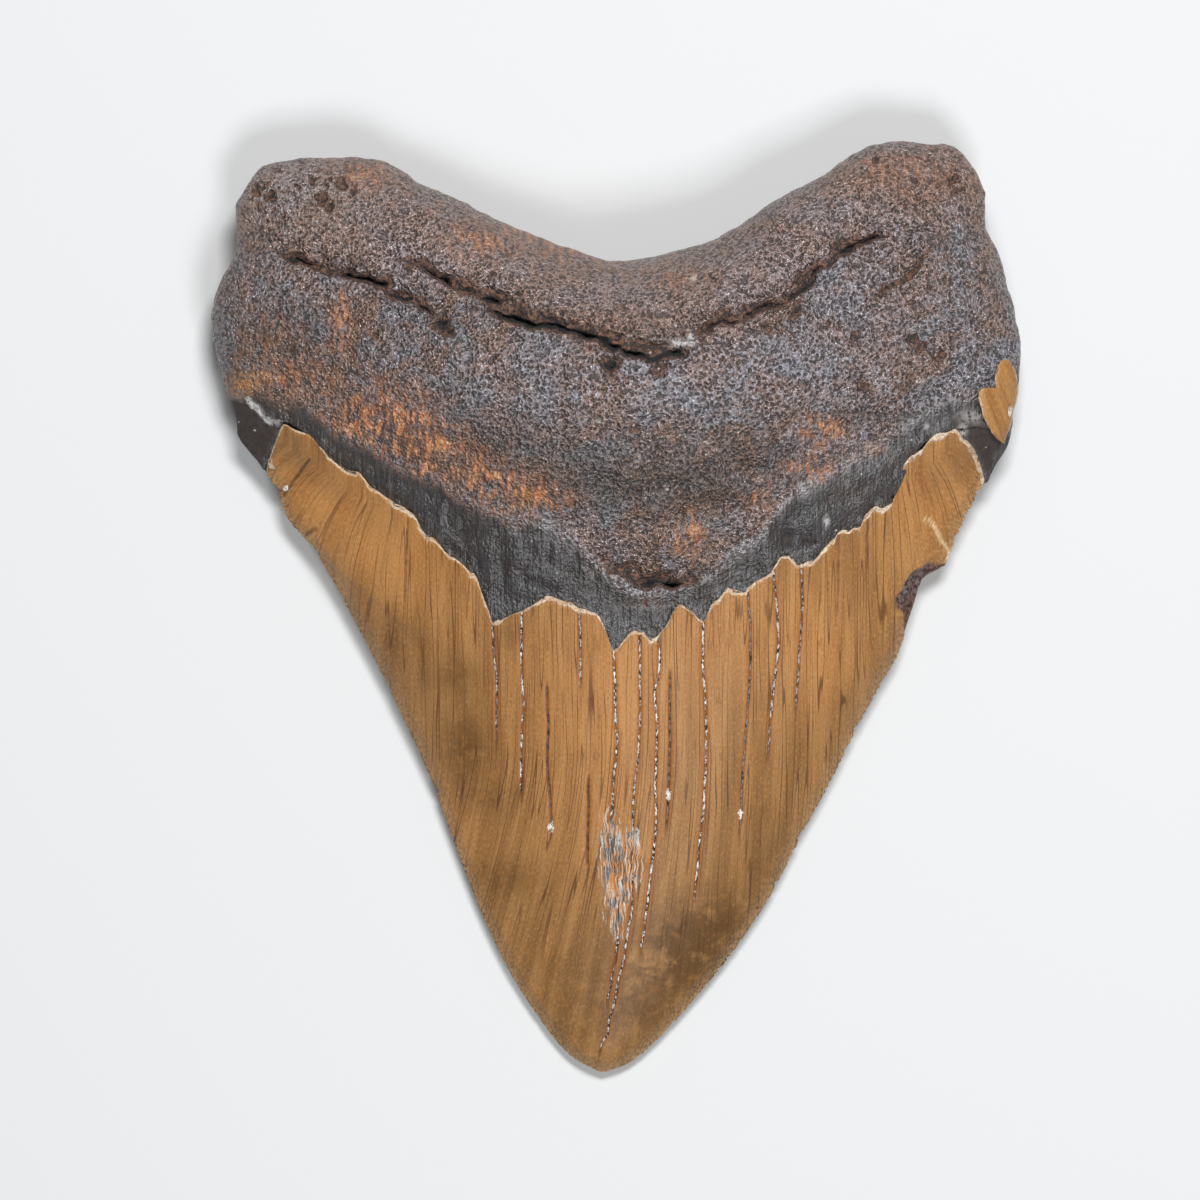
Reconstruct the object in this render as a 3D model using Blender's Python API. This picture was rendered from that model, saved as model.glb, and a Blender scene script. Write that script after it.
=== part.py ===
"""Fossil tooth of a giant shark, lying on its flat lip-side face.

One grown solid: a broad sharp-edged blade (the crown) that points to -Y, a smooth neck band, and a thick
two-lobed root towards +Y. The bulging tongue-side face looks up, and three small worn flats at z = 0
carry the tooth. The surface is two sheets over the same plan net, welded along the outline.
"""

import bmesh
import bpy
import numpy as np

MM = 0.001

# ---------------------------------------------------------------- driving dimensions (millimetres)
TOOTH_WIDTH = 115.6         # across the root, x
TOOTH_LENGTH = 133.2        # tip to the higher root lobe, y
ROOT_THICKNESS = 27.8       # table to the crest of the bulge, z
ENAMEL_STEP = 0.7           # ledge where the enamel ends

# Worn contact spots under the two lobes and the tip: x, y, and how far the face would dip below
# the table there before it is worn flat.
REST_SPOTS = [(-42.0, 47.0, 2.7), (43.0, 48.0, 2.7), (-1.2, -55.5, 1.7)]
REST_REACH = 10.0

# ---------------------------------------------------------------- the plan net
# The net runs across the tooth with u from -1 (left edge) to +1 (right edge), and up it with v from
# 0 (tip) to 1 (root margin). These are the v of its key rows.
V_ENAMEL = 0.50
V_NECK = 0.60
V_FURROW = 0.84
ROW_STOPS = [0.0, V_ENAMEL, V_NECK, V_FURROW, 1.0]

# Edges from the tip up, (x, y), without their chips. The second list of each pair says which of
# the points lie on the key rows.
LEFT_EDGE = [(-2.0, -66.6), (-6.4, -64.2), (-10.9, -58.9), (-16.1, -50.5), (-20.1, -41.8),
             (-23.4, -33.2), (-26.6, -24.4), (-31.9, -12.9), (-37.7, -1.4), (-43.4, 8.5), (-47.6, 13.8),
             (-48.3, 16.1), (-50.7, 20.2), (-53.6, 24.2), (-55.1, 29.6), (-57.0, 35.1), (-57.9, 41.1),
             (-56.6, 46.2), (-54.3, 52.2), (-54.1, 57.4), (-52.6, 60.8)]
LEFT_KEYS = [0, 12, 14, 18, 20]
RIGHT_EDGE = [(-2.0, -66.6), (1.7, -65.2), (5.9, -61.8), (10.7, -56.6), (16.3, -49.8), (22.1, -41.2),
              (26.6, -32.6), (31.1, -24.1), (35.4, -15.5), (39.1, -8.9), (44.4, -0.1), (48.1, 8.5),
              (50.4, 13.6), (52.9, 18.2), (55.7, 23.2), (56.9, 27.5), (57.7, 36.8), (56.6, 44.5),
              (54.4, 51.1), (52.9, 54.6), (52.7, 59.6)]
RIGHT_KEYS = [0, 13, 15, 19, 20]

# Chips broken out of the right edge: heights y, and how deep the break is at each.
CHIP_HEIGHTS = [-7.0, -4.0, -0.5, 4.2, 5.6, 6.2]
CHIP_DEPTHS = [0.0, 0.8, 2.0, 2.6, 0.9, 0.0]
CHIP_FADE = 14              # power of u by which a chip dies out inside the edge

# The same rows without the breaks of the enamel, as bow below the line between their ends. The
# heights follow these, so that a broken enamel edge leaves the body under it smooth.
SMOOTH_STOPS = [0.0, 0.42, 0.50, 0.60, 0.84, 1.0]
SMOOTH_BOWS = [0.0, -24.0, -25.5, -25.0, -16.8, -10.2]
SMOOTH_POWERS = [1.8, 1.8, 1.6, 1.6, 1.7, 1.8]

# Key rows from left to right, (x, y).
ENAMEL_ROW = [(-50.7, 20.2), (-47.6, 26.1), (-44.3, 25.4), (-38.7, 19.9), (-36.4, 19.4), (-30.3, 14.4),
              (-27.4, 10.8), (-19.9, 4.5), (-17.7, -2.1), (-13.7, -0.4), (-9.9, 1.9), (-2.3, -1.4),
              (-0.3, -5.8), (3.4, -3.2), (5.6, -4.1), (9.3, 0.5), (12.3, -1.8), (15.3, 2.4), (18.4, 2.1),
              (23.4, 7.2), (26.0, 5.9), (31.3, 10.5), (34.6, 11.6), (39.0, 14.9), (40.7, 20.4),
              (46.0, 25.2), (48.4, 25.6), (51.3, 22.5), (52.9, 18.2)]
NECK_ROW = [(-55.1, 29.6), (-45.1, 27.5), (-33.7, 21.8), (-25.1, 15.4), (-16.6, 11.1), (-8.0, 5.4),
            (-0.9, 1.8), (3.4, 1.1), (12.0, 3.2), (20.6, 6.8), (29.1, 12.5), (36.3, 18.2), (40.6, 22.5),
            (47.7, 26.8), (56.9, 27.5)]
FURROW_ROW = [(-54.3, 52.2), (-46.6, 50.2), (-31.6, 45.5), (-15.1, 41.5), (0.0, 37.2), (8.0, 37.2),
              (20.9, 42.4), (30.4, 48.5), (39.3, 53.0), (52.9, 54.6)]
ROOT_MARGIN = [(-52.6, 60.8), (-50.1, 63.4), (-45.1, 64.4), (-37.3, 64.5), (-33.0, 63.6), (-27.9, 60.8),
               (-21.0, 57.6), (-14.1, 54.2), (-7.3, 51.6), (0.4, 49.8), (4.7, 50.4), (9.9, 51.5),
               (16.7, 54.2), (21.9, 57.9), (28.7, 61.5), (33.9, 64.9), (39.0, 66.6), (45.9, 66.4),
               (49.3, 65.1), (51.3, 62.8), (52.7, 59.6)]

# ---------------------------------------------------------------- heights (millimetres above the table)
RIM_LEVEL = ([0.0, 0.1, 0.3, 0.5, 0.6, 0.84, 1.0], [1.7, 2.4, 3.8, 5.6, 7.2, 8.5, 8.5])
BLADE_CREST = ([0.0, 0.04, 0.12, 0.25, 0.40, 0.50, 0.64], [0.0, 2.6, 4.6, 7.6, 10.8, 12.4, 13.4])
ROOT_CREST = ([0.5, 0.56, 0.62, 0.70, 0.77, 0.84, 1.0], [11.4, 12.0, 14.0, 17.2, 19.0, 18.4, 15.5])
ROOT_SPREAD = 0.75          # u at which the bulge has fallen to half
RIM_ROUND = 7.5             # radius of the root's outer edge
SADDLE_ROUND = 4.5          # extra radius between the lobes
LOWER_ROUND = 6.0           # radius under the root's outer edge
LOWER_FACE = 1.6            # lift of the lip-side face between the rest flats
LOWER_HOLLOW = 1.4          # shallow hollow between the lobes underneath

# Lip-side enamel ends along y = LOWER_ENAMEL_Y + LOWER_ENAMEL_RISE * x**2
LOWER_ENAMEL_Y = 9.0
LOWER_ENAMEL_RISE = 0.0045
LOWER_ENAMEL_STEP = 0.5

# ---------------------------------------------------------------- surface features: path, depth, half width
FURROW = [(-46.6, 50.2), (-38.6, 47.8), (-31.6, 45.2), (-26.0, 42.6), (-15.1, 42.5), (-12.4, 39.2),
          (-8.6, 40.1), (-4.0, 39.5), (-1.4, 37.4), (1.6, 36.2), (9.1, 36.9), (13.7, 40.4), (20.9, 42.4),
          (26.7, 46.2), (30.4, 49.1), (39.3, 53.8)]
UPPER_CRACK = [(-27.3, 47.6), (-23.9, 45.2), (-19.7, 43.6), (-15.1, 42.5)]
GASH = [(25.9, 44.5), (24.9, 40.4)]
RIGHT_CRACK = [(37.1, 43.6), (42.1, 47.5), (44.7, 52.5)]
NECK_WRINKLE = [(-2.3, 5.4), (3.4, 3.5), (12.0, 3.9)]
GROOVES = [(FURROW, 2.0, 0.9), (UPPER_CRACK, 1.2, 0.8), (GASH, 1.6, 0.8), (RIGHT_CRACK, 1.2, 0.8),
           (NECK_WRINKLE, 0.9, 0.9)]
PITS = [((-1.1, 34.5), 2.2, 1.3), ((2.0, 33.6), 1.2, 0.9), ((-25.0, 41.4), 1.6, 1.2), ((35.1, 31.5), 1.0, 0.9),
        ((34.0, 38.4), 1.0, 0.9), ((21.3, 39.2), 1.0, 0.9), ((42.1, 38.2), 1.2, 0.9), ((48.1, 61.2), 0.8, 0.9),
        ((-51.0, 59.6), 0.8, 0.9), ((-41.3, 57.8), 0.8, 0.9), ((-39.1, 60.5), 0.8, 0.9)]
# Lumps of the root: (x, y, half width, height).
LUMPS = [(-40.0, 44.0, 9.0, 0.9), (-22.0, 33.0, 10.0, 0.8), (0.0, 27.0, 9.0, 0.5), (18.0, 33.0, 9.0, 0.9),
         (40.0, 42.0, 9.0, 0.8), (-46.0, 58.0, 7.0, 0.7), (44.0, 60.0, 7.0, 0.9), (8.0, 8.5, 5.0, 0.7),
         (-10.0, 46.0, 6.0, 0.4), (28.0, 55.0, 6.0, 0.5)]
RIPPLE = 0.28               # height of the fine unevenness of the root

# ---------------------------------------------------------------- mesh density
COLUMNS = 150
ROWS_CROWN = 84
ROWS_ROOT = 92
TRIANGLES = 9400


def smooth_track(t, knots, values):
    """Cubic curve through the values that never overshoots between two of them."""
    knots = np.asarray(knots, float)
    values = np.asarray(values, float)
    gap = np.diff(knots)
    slope = np.diff(values) / gap
    tangent = np.zeros_like(values)
    same_way = slope[:-1] * slope[1:] > 0
    total = np.where(same_way, slope[:-1] + slope[1:], 1.0)
    tangent[1:-1] = np.where(same_way, 2 * slope[:-1] * slope[1:] / total, 0.0)
    tangent[0], tangent[-1] = slope[0], slope[-1]
    t = np.clip(t, knots[0], knots[-1])
    i = np.clip(np.searchsorted(knots, t, side="right") - 1, 0, len(gap) - 1)
    x = (t - knots[i]) / gap[i]
    rise = x * x * (3 - 2 * x)
    bend = x * (1 - x) ** 2 * tangent[i] - x * x * (1 - x) * tangent[i + 1]
    return values[i] * (1 - rise) + values[i + 1] * rise + bend * gap[i]


def smooth_step(low, high, t):
    """0 below low, 1 above high, an S between."""
    x = np.clip((t - low) / (high - low), 0.0, 1.0)
    return x * x * (3 - 2 * x)


def edge_point(v, points, keys):
    """Point at height v along an edge that meets its key points on the key rows."""
    points = np.array(points)
    along = np.concatenate([[0.0], np.cumsum(np.hypot(*np.diff(points, axis=0).T))])
    place = smooth_track(v, ROW_STOPS, along[keys])
    return smooth_track(place, along, points[:, 0]), smooth_track(place, along, points[:, 1])


def row_bow(share, row):
    """How far a key row lies above the straight line between its ends, at a share of its width."""
    row = np.array(row)
    x = row[0, 0] + share * (row[-1, 0] - row[0, 0])
    chord = row[0, 1] + share * (row[-1, 1] - row[0, 1])
    return smooth_track(x, row[:, 0], row[:, 1]) - chord


def blend_rows(v, bows):
    """Bow at height v, eased from each key row's bow to the next one's."""
    bow = bows[0]
    for low, high, below, above in zip(SMOOTH_STOPS, SMOOTH_STOPS[1:], bows, bows[1:]):
        blend = smooth_step(low, high, v)
        bow = np.where(v >= low, below * (1 - blend) + above * blend, bow)
    return bow


def smooth_bows(u):
    """Bows of the key rows as plain rounded chevrons."""
    return [bow * (1 - np.abs(u) ** power) for bow, power in zip(SMOOTH_BOWS, SMOOTH_POWERS)]


def straight_net(u, v):
    """Plan position on the straight line between the two edges at height v."""
    share = (1 + u) / 2
    left_x, left_y = edge_point(v, LEFT_EDGE, LEFT_KEYS)
    right_x, right_y = edge_point(v, RIGHT_EDGE, RIGHT_KEYS)
    return left_x + share * (right_x - left_x), left_y + share * (right_y - left_y)


def plan_net(u, v):
    """Plan position (x, y) of the net's point (u, v)."""
    share = (1 + u) / 2
    bows = smooth_bows(u)
    bows[2:] = [row_bow(share, row) for row in (ENAMEL_ROW, NECK_ROW, FURROW_ROW, ROOT_MARGIN)]
    x, y = straight_net(u, v)
    y = y + blend_rows(v, bows)
    chip = smooth_track(y, CHIP_HEIGHTS, CHIP_DEPTHS)
    return x - chip * np.clip(u, 0, 1) ** CHIP_FADE, y


def level_of(u, y):
    """Height v of a plan point on the net of unbroken rows, column by column."""
    level = np.zeros_like(y)
    steps = np.linspace(0, 1, 400)
    for column in np.unique(u):
        here = u == column
        across = np.full_like(steps, column)
        climb = straight_net(across, steps)[1] + blend_rows(steps, smooth_bows(across))
        level[here] = np.interp(y[here], climb, steps)
    return level


def outline():
    """The tooth's closed plan outline as a dense run of points."""
    side = np.linspace(0, 1, 260)
    across = np.linspace(-1, 1, 160)
    left = np.column_stack(plan_net(-np.ones_like(side), side))
    top = np.column_stack(plan_net(across, np.ones_like(across)))
    right = np.column_stack(plan_net(np.ones_like(side), side))
    return np.vstack([left, top[1:-1], right[::-1]])


def path_distance(x, y, path):
    """Distance from each point to a run of straight pieces."""
    path = np.asarray(path, float)
    nearest = np.full(x.shape, np.inf)
    for (ax, ay), (bx, by) in zip(path, path[1:]):
        dx, dy = bx - ax, by - ay
        share = np.clip(((x - ax) * dx + (y - ay) * dy) / max(dx * dx + dy * dy, 1e-12), 0, 1)
        nearest = np.minimum(nearest, np.hypot(x - ax - share * dx, y - ay - share * dy))
    return nearest


def rounding(distance, radius):
    """Quarter-round profile: 0 on the rim, 1 once a radius inside it."""
    inside = np.clip(distance / radius, 0, 1)
    return np.sqrt(np.maximum(1 - (1 - inside) ** 2, 0))


def relief(x, y):
    """Lumps, ripples, furrows and pits of the root's upper face."""
    height = RIPPLE * (np.sin(0.55 * x + 1.3 * np.sin(0.31 * y)) * np.sin(0.47 * y + 1.1 * np.sin(0.27 * x))
                       + 0.6 * np.sin(1.3 * x + 0.9 * y + 2.0) * np.sin(0.8 * y - 0.6 * x))
    for lump_x, lump_y, half, rise in LUMPS:
        height += rise * np.exp(-((x - lump_x) ** 2 + (y - lump_y) ** 2) / half ** 2)
    for path, depth, half in GROOVES:
        height -= depth * np.exp(-(path_distance(x, y, path) / half) ** 2)
    for (pit_x, pit_y), depth, half in PITS:
        height -= depth * np.exp(-((x - pit_x) ** 2 + (y - pit_y) ** 2) / half ** 2)
    return height


def upper_height(u, v, x, y, rim_distance):
    """Height of the bulging tongue-side face."""
    rim = smooth_track(v, *RIM_LEVEL)
    blade = smooth_track(v, *BLADE_CREST) * (1 - u * u)
    spread = 1 / (1 + (np.abs(u) / ROOT_SPREAD) ** 3)
    radius = RIM_ROUND + SADDLE_ROUND * (1 - u * u) * smooth_step(0.6, 0.8, v)
    edge = rounding(rim_distance, radius)
    root = edge * (smooth_track(v, *ROOT_CREST) * spread + relief(x, y))
    share = smooth_step(V_ENAMEL, V_NECK, v)
    return rim + blade * (1 - share) + root * share


def lower_height(u, v, x, y, rim_distance):
    """Height of the nearly flat lip-side face, worn flat where it rests."""
    rim = smooth_track(v, *RIM_LEVEL)
    hollow = LOWER_HOLLOW * (1 - u * u) * np.exp(-((v - 0.84) / 0.16) ** 2)
    ledge = LOWER_ENAMEL_STEP * smooth_step(0, 0.8, LOWER_ENAMEL_Y + LOWER_ENAMEL_RISE * x * x - y)
    face = LOWER_FACE + hollow - ledge
    for rest_x, rest_y, dip in REST_SPOTS:
        face = face - dip * np.exp(-((x - rest_x) ** 2 + (y - rest_y) ** 2) / REST_REACH ** 2)
    blade = face + (rim - face) * np.abs(u) ** 2.6
    root = rim - (rim - face) * rounding(rim_distance, LOWER_ROUND)
    share = smooth_step(V_ENAMEL, V_NECK, v)
    return np.maximum(blade * (1 - share) + root * share, 0.0)


def net_values():
    """Values of u across and of v up the net, crowded at the rims and at the enamel's edge."""
    across = np.linspace(-1, 1, COLUMNS + 1)
    columns = np.sign(across) * (1 - (1 - np.abs(across)) ** 1.6)
    crown = V_ENAMEL * np.linspace(0, 1, ROWS_CROWN) ** 1.3
    climb = np.linspace(0, 1, ROWS_ROOT)
    root = V_ENAMEL + 0.006 + (1 - V_ENAMEL - 0.006) * (1 - (1 - climb) ** 1.5)
    return columns, np.concatenate([crown, root])


def enamel_ledge(v, rim_distance):
    """The enamel's thickness, which ends abruptly on the key row of its broken edge."""
    return ENAMEL_STEP * (v <= V_ENAMEL) * np.clip(rim_distance / 1.5, 0, 1)


def sheet(bm, height_of, faces_up):
    """Add one face of the tooth: a grid laid over the plan net and lifted to its height."""
    columns, rows = net_values()
    made = bmesh.ops.create_grid(bm, x_segments=len(columns) - 1, y_segments=len(rows) - 1, size=1.0)
    verts = made["verts"]
    grid = np.array([vert.co[:2] for vert in verts])
    column = np.rint((grid[:, 0] + 1) / 2 * (len(columns) - 1)).astype(int)
    row = np.rint((grid[:, 1] + 1) / 2 * (len(rows) - 1)).astype(int)
    u, v = columns[column], rows[row]
    x, y = plan_net(u, v)
    on_rim = (np.abs(u) == 1) | (v == 1) | (v == 0)
    rim_distance = np.where(on_rim, 0.0, path_distance(x, y, outline()))
    level = level_of(u, y)
    z = height_of(u, level, x, y, rim_distance)
    if faces_up:
        z += enamel_ledge(v, rim_distance)
    z = np.where(on_rim, smooth_track(level, *RIM_LEVEL), z)
    for vert, place in zip(verts, np.column_stack([x, y, z]) * MM):
        vert.co = place
    if not faces_up:
        faces = {face for vert in verts for face in vert.link_faces}
        bmesh.ops.reverse_faces(bm, faces=list(faces))


def fit_to_size(bm):
    """Centre the tooth over the origin, on the table, at its driving dimensions."""
    places = np.array([vert.co[:] for vert in bm.verts])
    low, high = places.min(axis=0), places.max(axis=0)
    base = np.array([(low[0] + high[0]) / 2, (low[1] + high[1]) / 2, low[2]])
    size = np.array([TOOTH_WIDTH, TOOTH_LENGTH, ROOT_THICKNESS]) * MM
    bmesh.ops.translate(bm, verts=bm.verts, vec=-base)
    bmesh.ops.scale(bm, verts=bm.verts, vec=size / (high - low))


def tooth_mesh():
    """Weld the two sheets along the outline and gather the tip into one point."""
    bm = bmesh.new()
    sheet(bm, upper_height, faces_up=True)
    sheet(bm, lower_height, faces_up=False)
    bmesh.ops.remove_doubles(bm, verts=bm.verts, dist=0.002 * MM)
    fit_to_size(bm)
    bmesh.ops.triangulate(bm, faces=bm.faces)
    mesh = bpy.data.meshes.new("tooth")
    bm.to_mesh(mesh)
    bm.free()
    return mesh


def simplify(tooth, triangles):
    """Thin the mesh where it is smooth, then press the worn flats back onto the table exactly."""
    thin = tooth.modifiers.new("thin", "DECIMATE")
    thin.ratio = triangles / len(tooth.data.polygons)
    thin.use_collapse_triangulate = True
    graph = bpy.context.evaluated_depsgraph_get()
    mesh = bpy.data.meshes.new_from_object(tooth.evaluated_get(graph))
    tooth.modifiers.clear()
    tooth.data = mesh
    for vert in mesh.vertices:
        if vert.co.z < 0.02 * MM:
            vert.co.z = 0.0


def dark_root_material():
    """Dark mineral-stained root with a satin sheen."""
    material = bpy.data.materials.new("root")
    material.use_nodes = True
    shader = material.node_tree.nodes["Principled BSDF"]
    shader.inputs["Base Color"].default_value = (0.16, 0.11, 0.09, 1.0)
    shader.inputs["Roughness"].default_value = 0.45
    shader.inputs["Metallic"].default_value = 0.0
    return material


def main():
    for old in list(bpy.data.objects):
        bpy.data.objects.remove(old, do_unlink=True)
    tooth = bpy.data.objects.new("tooth", tooth_mesh())
    bpy.context.scene.collection.objects.link(tooth)
    simplify(tooth, TRIANGLES)
    tooth.data.materials.append(dark_root_material())
    tooth.data.shade_smooth()
    tooth.data.set_sharp_from_angle(angle=np.radians(50))


main()
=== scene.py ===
"""Looks of a fossil giant-shark tooth that lies on its flat lip-side face.

The tooth is dressed with three closed surfaces that together stand for its one solid: the dark root
with the neck band, the serrated enamel crown, and a flake of enamel left on the right shoulder. All
three hang on one curved net drawn over the tooth's plan, in millimetres, and are brought to metres
and to the solid's own box when they are meshed.
"""
import logging
import math
from dataclasses import dataclass
from enum import Enum
from functools import reduce

import bpy
import numpy as np
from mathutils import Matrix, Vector


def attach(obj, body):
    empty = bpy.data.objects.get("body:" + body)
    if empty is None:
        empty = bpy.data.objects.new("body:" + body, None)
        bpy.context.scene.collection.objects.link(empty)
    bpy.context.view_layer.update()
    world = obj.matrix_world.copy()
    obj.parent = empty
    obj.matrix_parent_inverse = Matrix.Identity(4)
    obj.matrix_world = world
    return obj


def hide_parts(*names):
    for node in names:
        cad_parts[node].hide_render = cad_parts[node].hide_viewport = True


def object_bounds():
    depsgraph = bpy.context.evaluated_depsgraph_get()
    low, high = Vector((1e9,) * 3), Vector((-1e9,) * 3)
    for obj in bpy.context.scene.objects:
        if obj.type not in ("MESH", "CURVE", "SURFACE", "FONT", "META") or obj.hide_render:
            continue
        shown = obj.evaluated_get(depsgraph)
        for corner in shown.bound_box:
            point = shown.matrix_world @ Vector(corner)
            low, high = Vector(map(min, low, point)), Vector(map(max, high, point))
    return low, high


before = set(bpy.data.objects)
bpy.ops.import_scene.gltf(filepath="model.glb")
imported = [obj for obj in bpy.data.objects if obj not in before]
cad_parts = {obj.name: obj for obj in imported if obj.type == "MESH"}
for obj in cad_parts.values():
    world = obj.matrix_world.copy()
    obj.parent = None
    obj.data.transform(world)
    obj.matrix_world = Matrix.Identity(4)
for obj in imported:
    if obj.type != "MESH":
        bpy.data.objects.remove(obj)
CAD_BOX = [list(corner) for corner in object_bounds()]

LOG = logging.getLogger("tooth")
Array = np.ndarray
Points = tuple[tuple[float, float], ...]
Track = tuple[tuple[float, ...], tuple[float, ...]]
Spots = tuple[tuple[float, ...], ...]
Triple = tuple[float, float, float]
Pair = tuple[Array, Array]
Socket = bpy.types.NodeSocket
Node = bpy.types.Node
Tree = bpy.types.NodeTree
Feed = Socket | float | tuple[float, ...]
MM = 0.001


# ---- numeric helpers
def smooth_track(t: Array, knots: Array, values: Array) -> Array:
    """Monotone cubic through (knot, value) pairs: it never overshoots between two of them.

    Args:
        t: Where to read the curve.
        knots: Rising stations along it.
        values: Value at each station.

    Returns:
        The curve's value at every t.
    """
    knots, values = np.asarray(knots, float), np.asarray(values, float)
    gap = np.diff(knots)
    slope = np.diff(values) / gap
    same_way = slope[:-1] * slope[1:] > 0
    total = np.where(same_way, slope[:-1] + slope[1:], 1.0)
    tangent = np.zeros_like(values)
    tangent[1:-1] = np.where(same_way, 2 * slope[:-1] * slope[1:] / total, 0.0)
    tangent[0], tangent[-1] = slope[0], slope[-1]
    t = np.clip(t, knots[0], knots[-1])
    i = np.clip(np.searchsorted(knots, t, side="right") - 1, 0, len(gap) - 1)
    x = (t - knots[i]) / gap[i]
    rise = x * x * (3 - 2 * x)
    bend = x * (1 - x) ** 2 * tangent[i] - x * x * (1 - x) * tangent[i + 1]
    return values[i] * (1 - rise) + values[i + 1] * rise + bend * gap[i]


def ease(low: float, high: float, t: Array) -> Array:
    """Return 0 below low, 1 above high and an S between (high may be the smaller)."""
    x = np.clip((t - low) / (high - low), 0.0, 1.0)
    return x * x * (3 - 2 * x)


def path_distance(x: Array, y: Array, path: Points) -> Array:
    """Distance from points to a run of straight pieces.

    Args:
        x, y: The points.
        path: Ends of the pieces, in order.

    Returns:
        Each point's distance to the nearest piece.
    """
    path = np.asarray(path, float)
    nearest = np.full(x.shape, np.inf)
    for (ax, ay), (bx, by) in zip(path, path[1:]):
        dx, dy = bx - ax, by - ay
        share = np.clip(((x - ax) * dx + (y - ay) * dy) / max(dx * dx + dy * dy, 1e-12), 0, 1)
        nearest = np.minimum(nearest, (x - ax - share * dx) ** 2 + (y - ay - share * dy) ** 2)
    return np.sqrt(nearest)


def path_lengths(path: Points) -> Array:
    """Length along a path up to each of its points."""
    return np.concatenate([[0.0], np.cumsum(np.hypot(*np.diff(np.array(path), axis=0).T))])


def path_point(path: Points, length: Array) -> Pair:
    """Point on a smooth path at a length along it."""
    along, (x, y) = path_lengths(path), np.array(path).T
    return smooth_track(length, along, x), smooth_track(length, along, y)


def course_height(course: Points, x: Array) -> Array:
    """Height y at x of a smooth course that runs from left to right."""
    return smooth_track(x, *np.array(course).T)


def bell(t: Array, centre: float, half: float) -> Array:
    """Return 1 at the centre and 1 / e at half to each side of it, as exp(-(distance / half) squared)."""
    return np.exp(-((t - centre) / half) ** 2)


def inside_depth(x: Array, y: Array, corners: Points) -> Array:
    """Signed distance from points to a closed outline.

    Args:
        x, y: The points.
        corners: The outline's corners, in order.

    Returns:
        The distance, positive inside and negative outside, told apart by counting crossings.
    """
    ring = np.asarray(corners + corners[:1], float)
    crossings = np.zeros(x.shape, int)
    for (ax, ay), (bx, by) in zip(ring, ring[1:]):
        spans = (ay > y) != (by > y)
        reach = ax + (y - ay) * (bx - ax) / np.where(by == ay, 1e-9, by - ay)
        crossings += spans & (x < reach)
    return np.where(crossings % 2 == 1, 1.0, -1.0) * path_distance(x, y, ring)


def scatter(i: Array, j: Array, seed: float) -> Array:
    """Even pseudo-random value from 0 to 1 for whole-number cell (i, j)."""
    return np.modf(np.abs(np.sin(i * 127.1 + j * 311.7 + seed * 74.7) * 43758.5453))[0]


def value_noise(x: Array, y: Array, seed: float) -> Array:
    """Smooth noise: random values on a unit lattice, blended by S curves.

    Args:
        x, y: Where to read it, in lattice cells.
        seed: Picks one noise among many.

    Returns:
        Values from -1 to 1.
    """
    i, j = np.floor(x), np.floor(y)
    fx, fy = x - i, y - j
    fx, fy = fx * fx * (3 - 2 * fx), fy * fy * (3 - 2 * fy)
    low = scatter(i, j, seed) * (1 - fx) + scatter(i + 1, j, seed) * fx
    high = scatter(i, j + 1, seed) * (1 - fx) + scatter(i + 1, j + 1, seed) * fx
    return 2 * (low * (1 - fy) + high * fy) - 1


def layered_noise(x: Array, y: Array, size: float, layers: int, seed: float) -> Array:
    """Sum of value noises, each layer half the size and 0.55 of the height of the last.

    Args:
        x, y: Where to read it.
        size: Size of the first layer's features.
        layers: How many layers.
        seed: Picks one noise among many.

    Returns:
        Values around 0, from about -1 to 1.
    """
    total, height = np.zeros(np.broadcast(x, y).shape), 1.0
    for layer in range(layers):
        turn = 0.6 + 0.9 * layer
        u = (x * math.cos(turn) + y * math.sin(turn)) / size
        v = (y * math.cos(turn) - x * math.sin(turn)) / size
        total += height * value_noise(u, v, seed + 3.7 * layer)
        size, height = size / 2, height * 0.55
    return total


def inward(distance: Array, reach: float) -> Array:
    """Rise evenly from 0 on the outline to 1 at a reach inside it."""
    return np.clip(distance / reach, 0, 1)


def patches(x: Array, y: Array, spots: Spots) -> Array:
    """Sum of soft oval patches.

    Args:
        x, y: Where to read it.
        spots: Each patch's x, y, half width, half height and strength.

    Returns:
        Each patch's strength times a bell over its own centre, summed.
    """
    total = np.zeros_like(x)
    for spot_x, spot_y, half_x, half_y, strength in spots:
        total += strength * np.exp(-(((x - spot_x) / half_x) ** 2 + ((y - spot_y) / half_y) ** 2))
    return total


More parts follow.
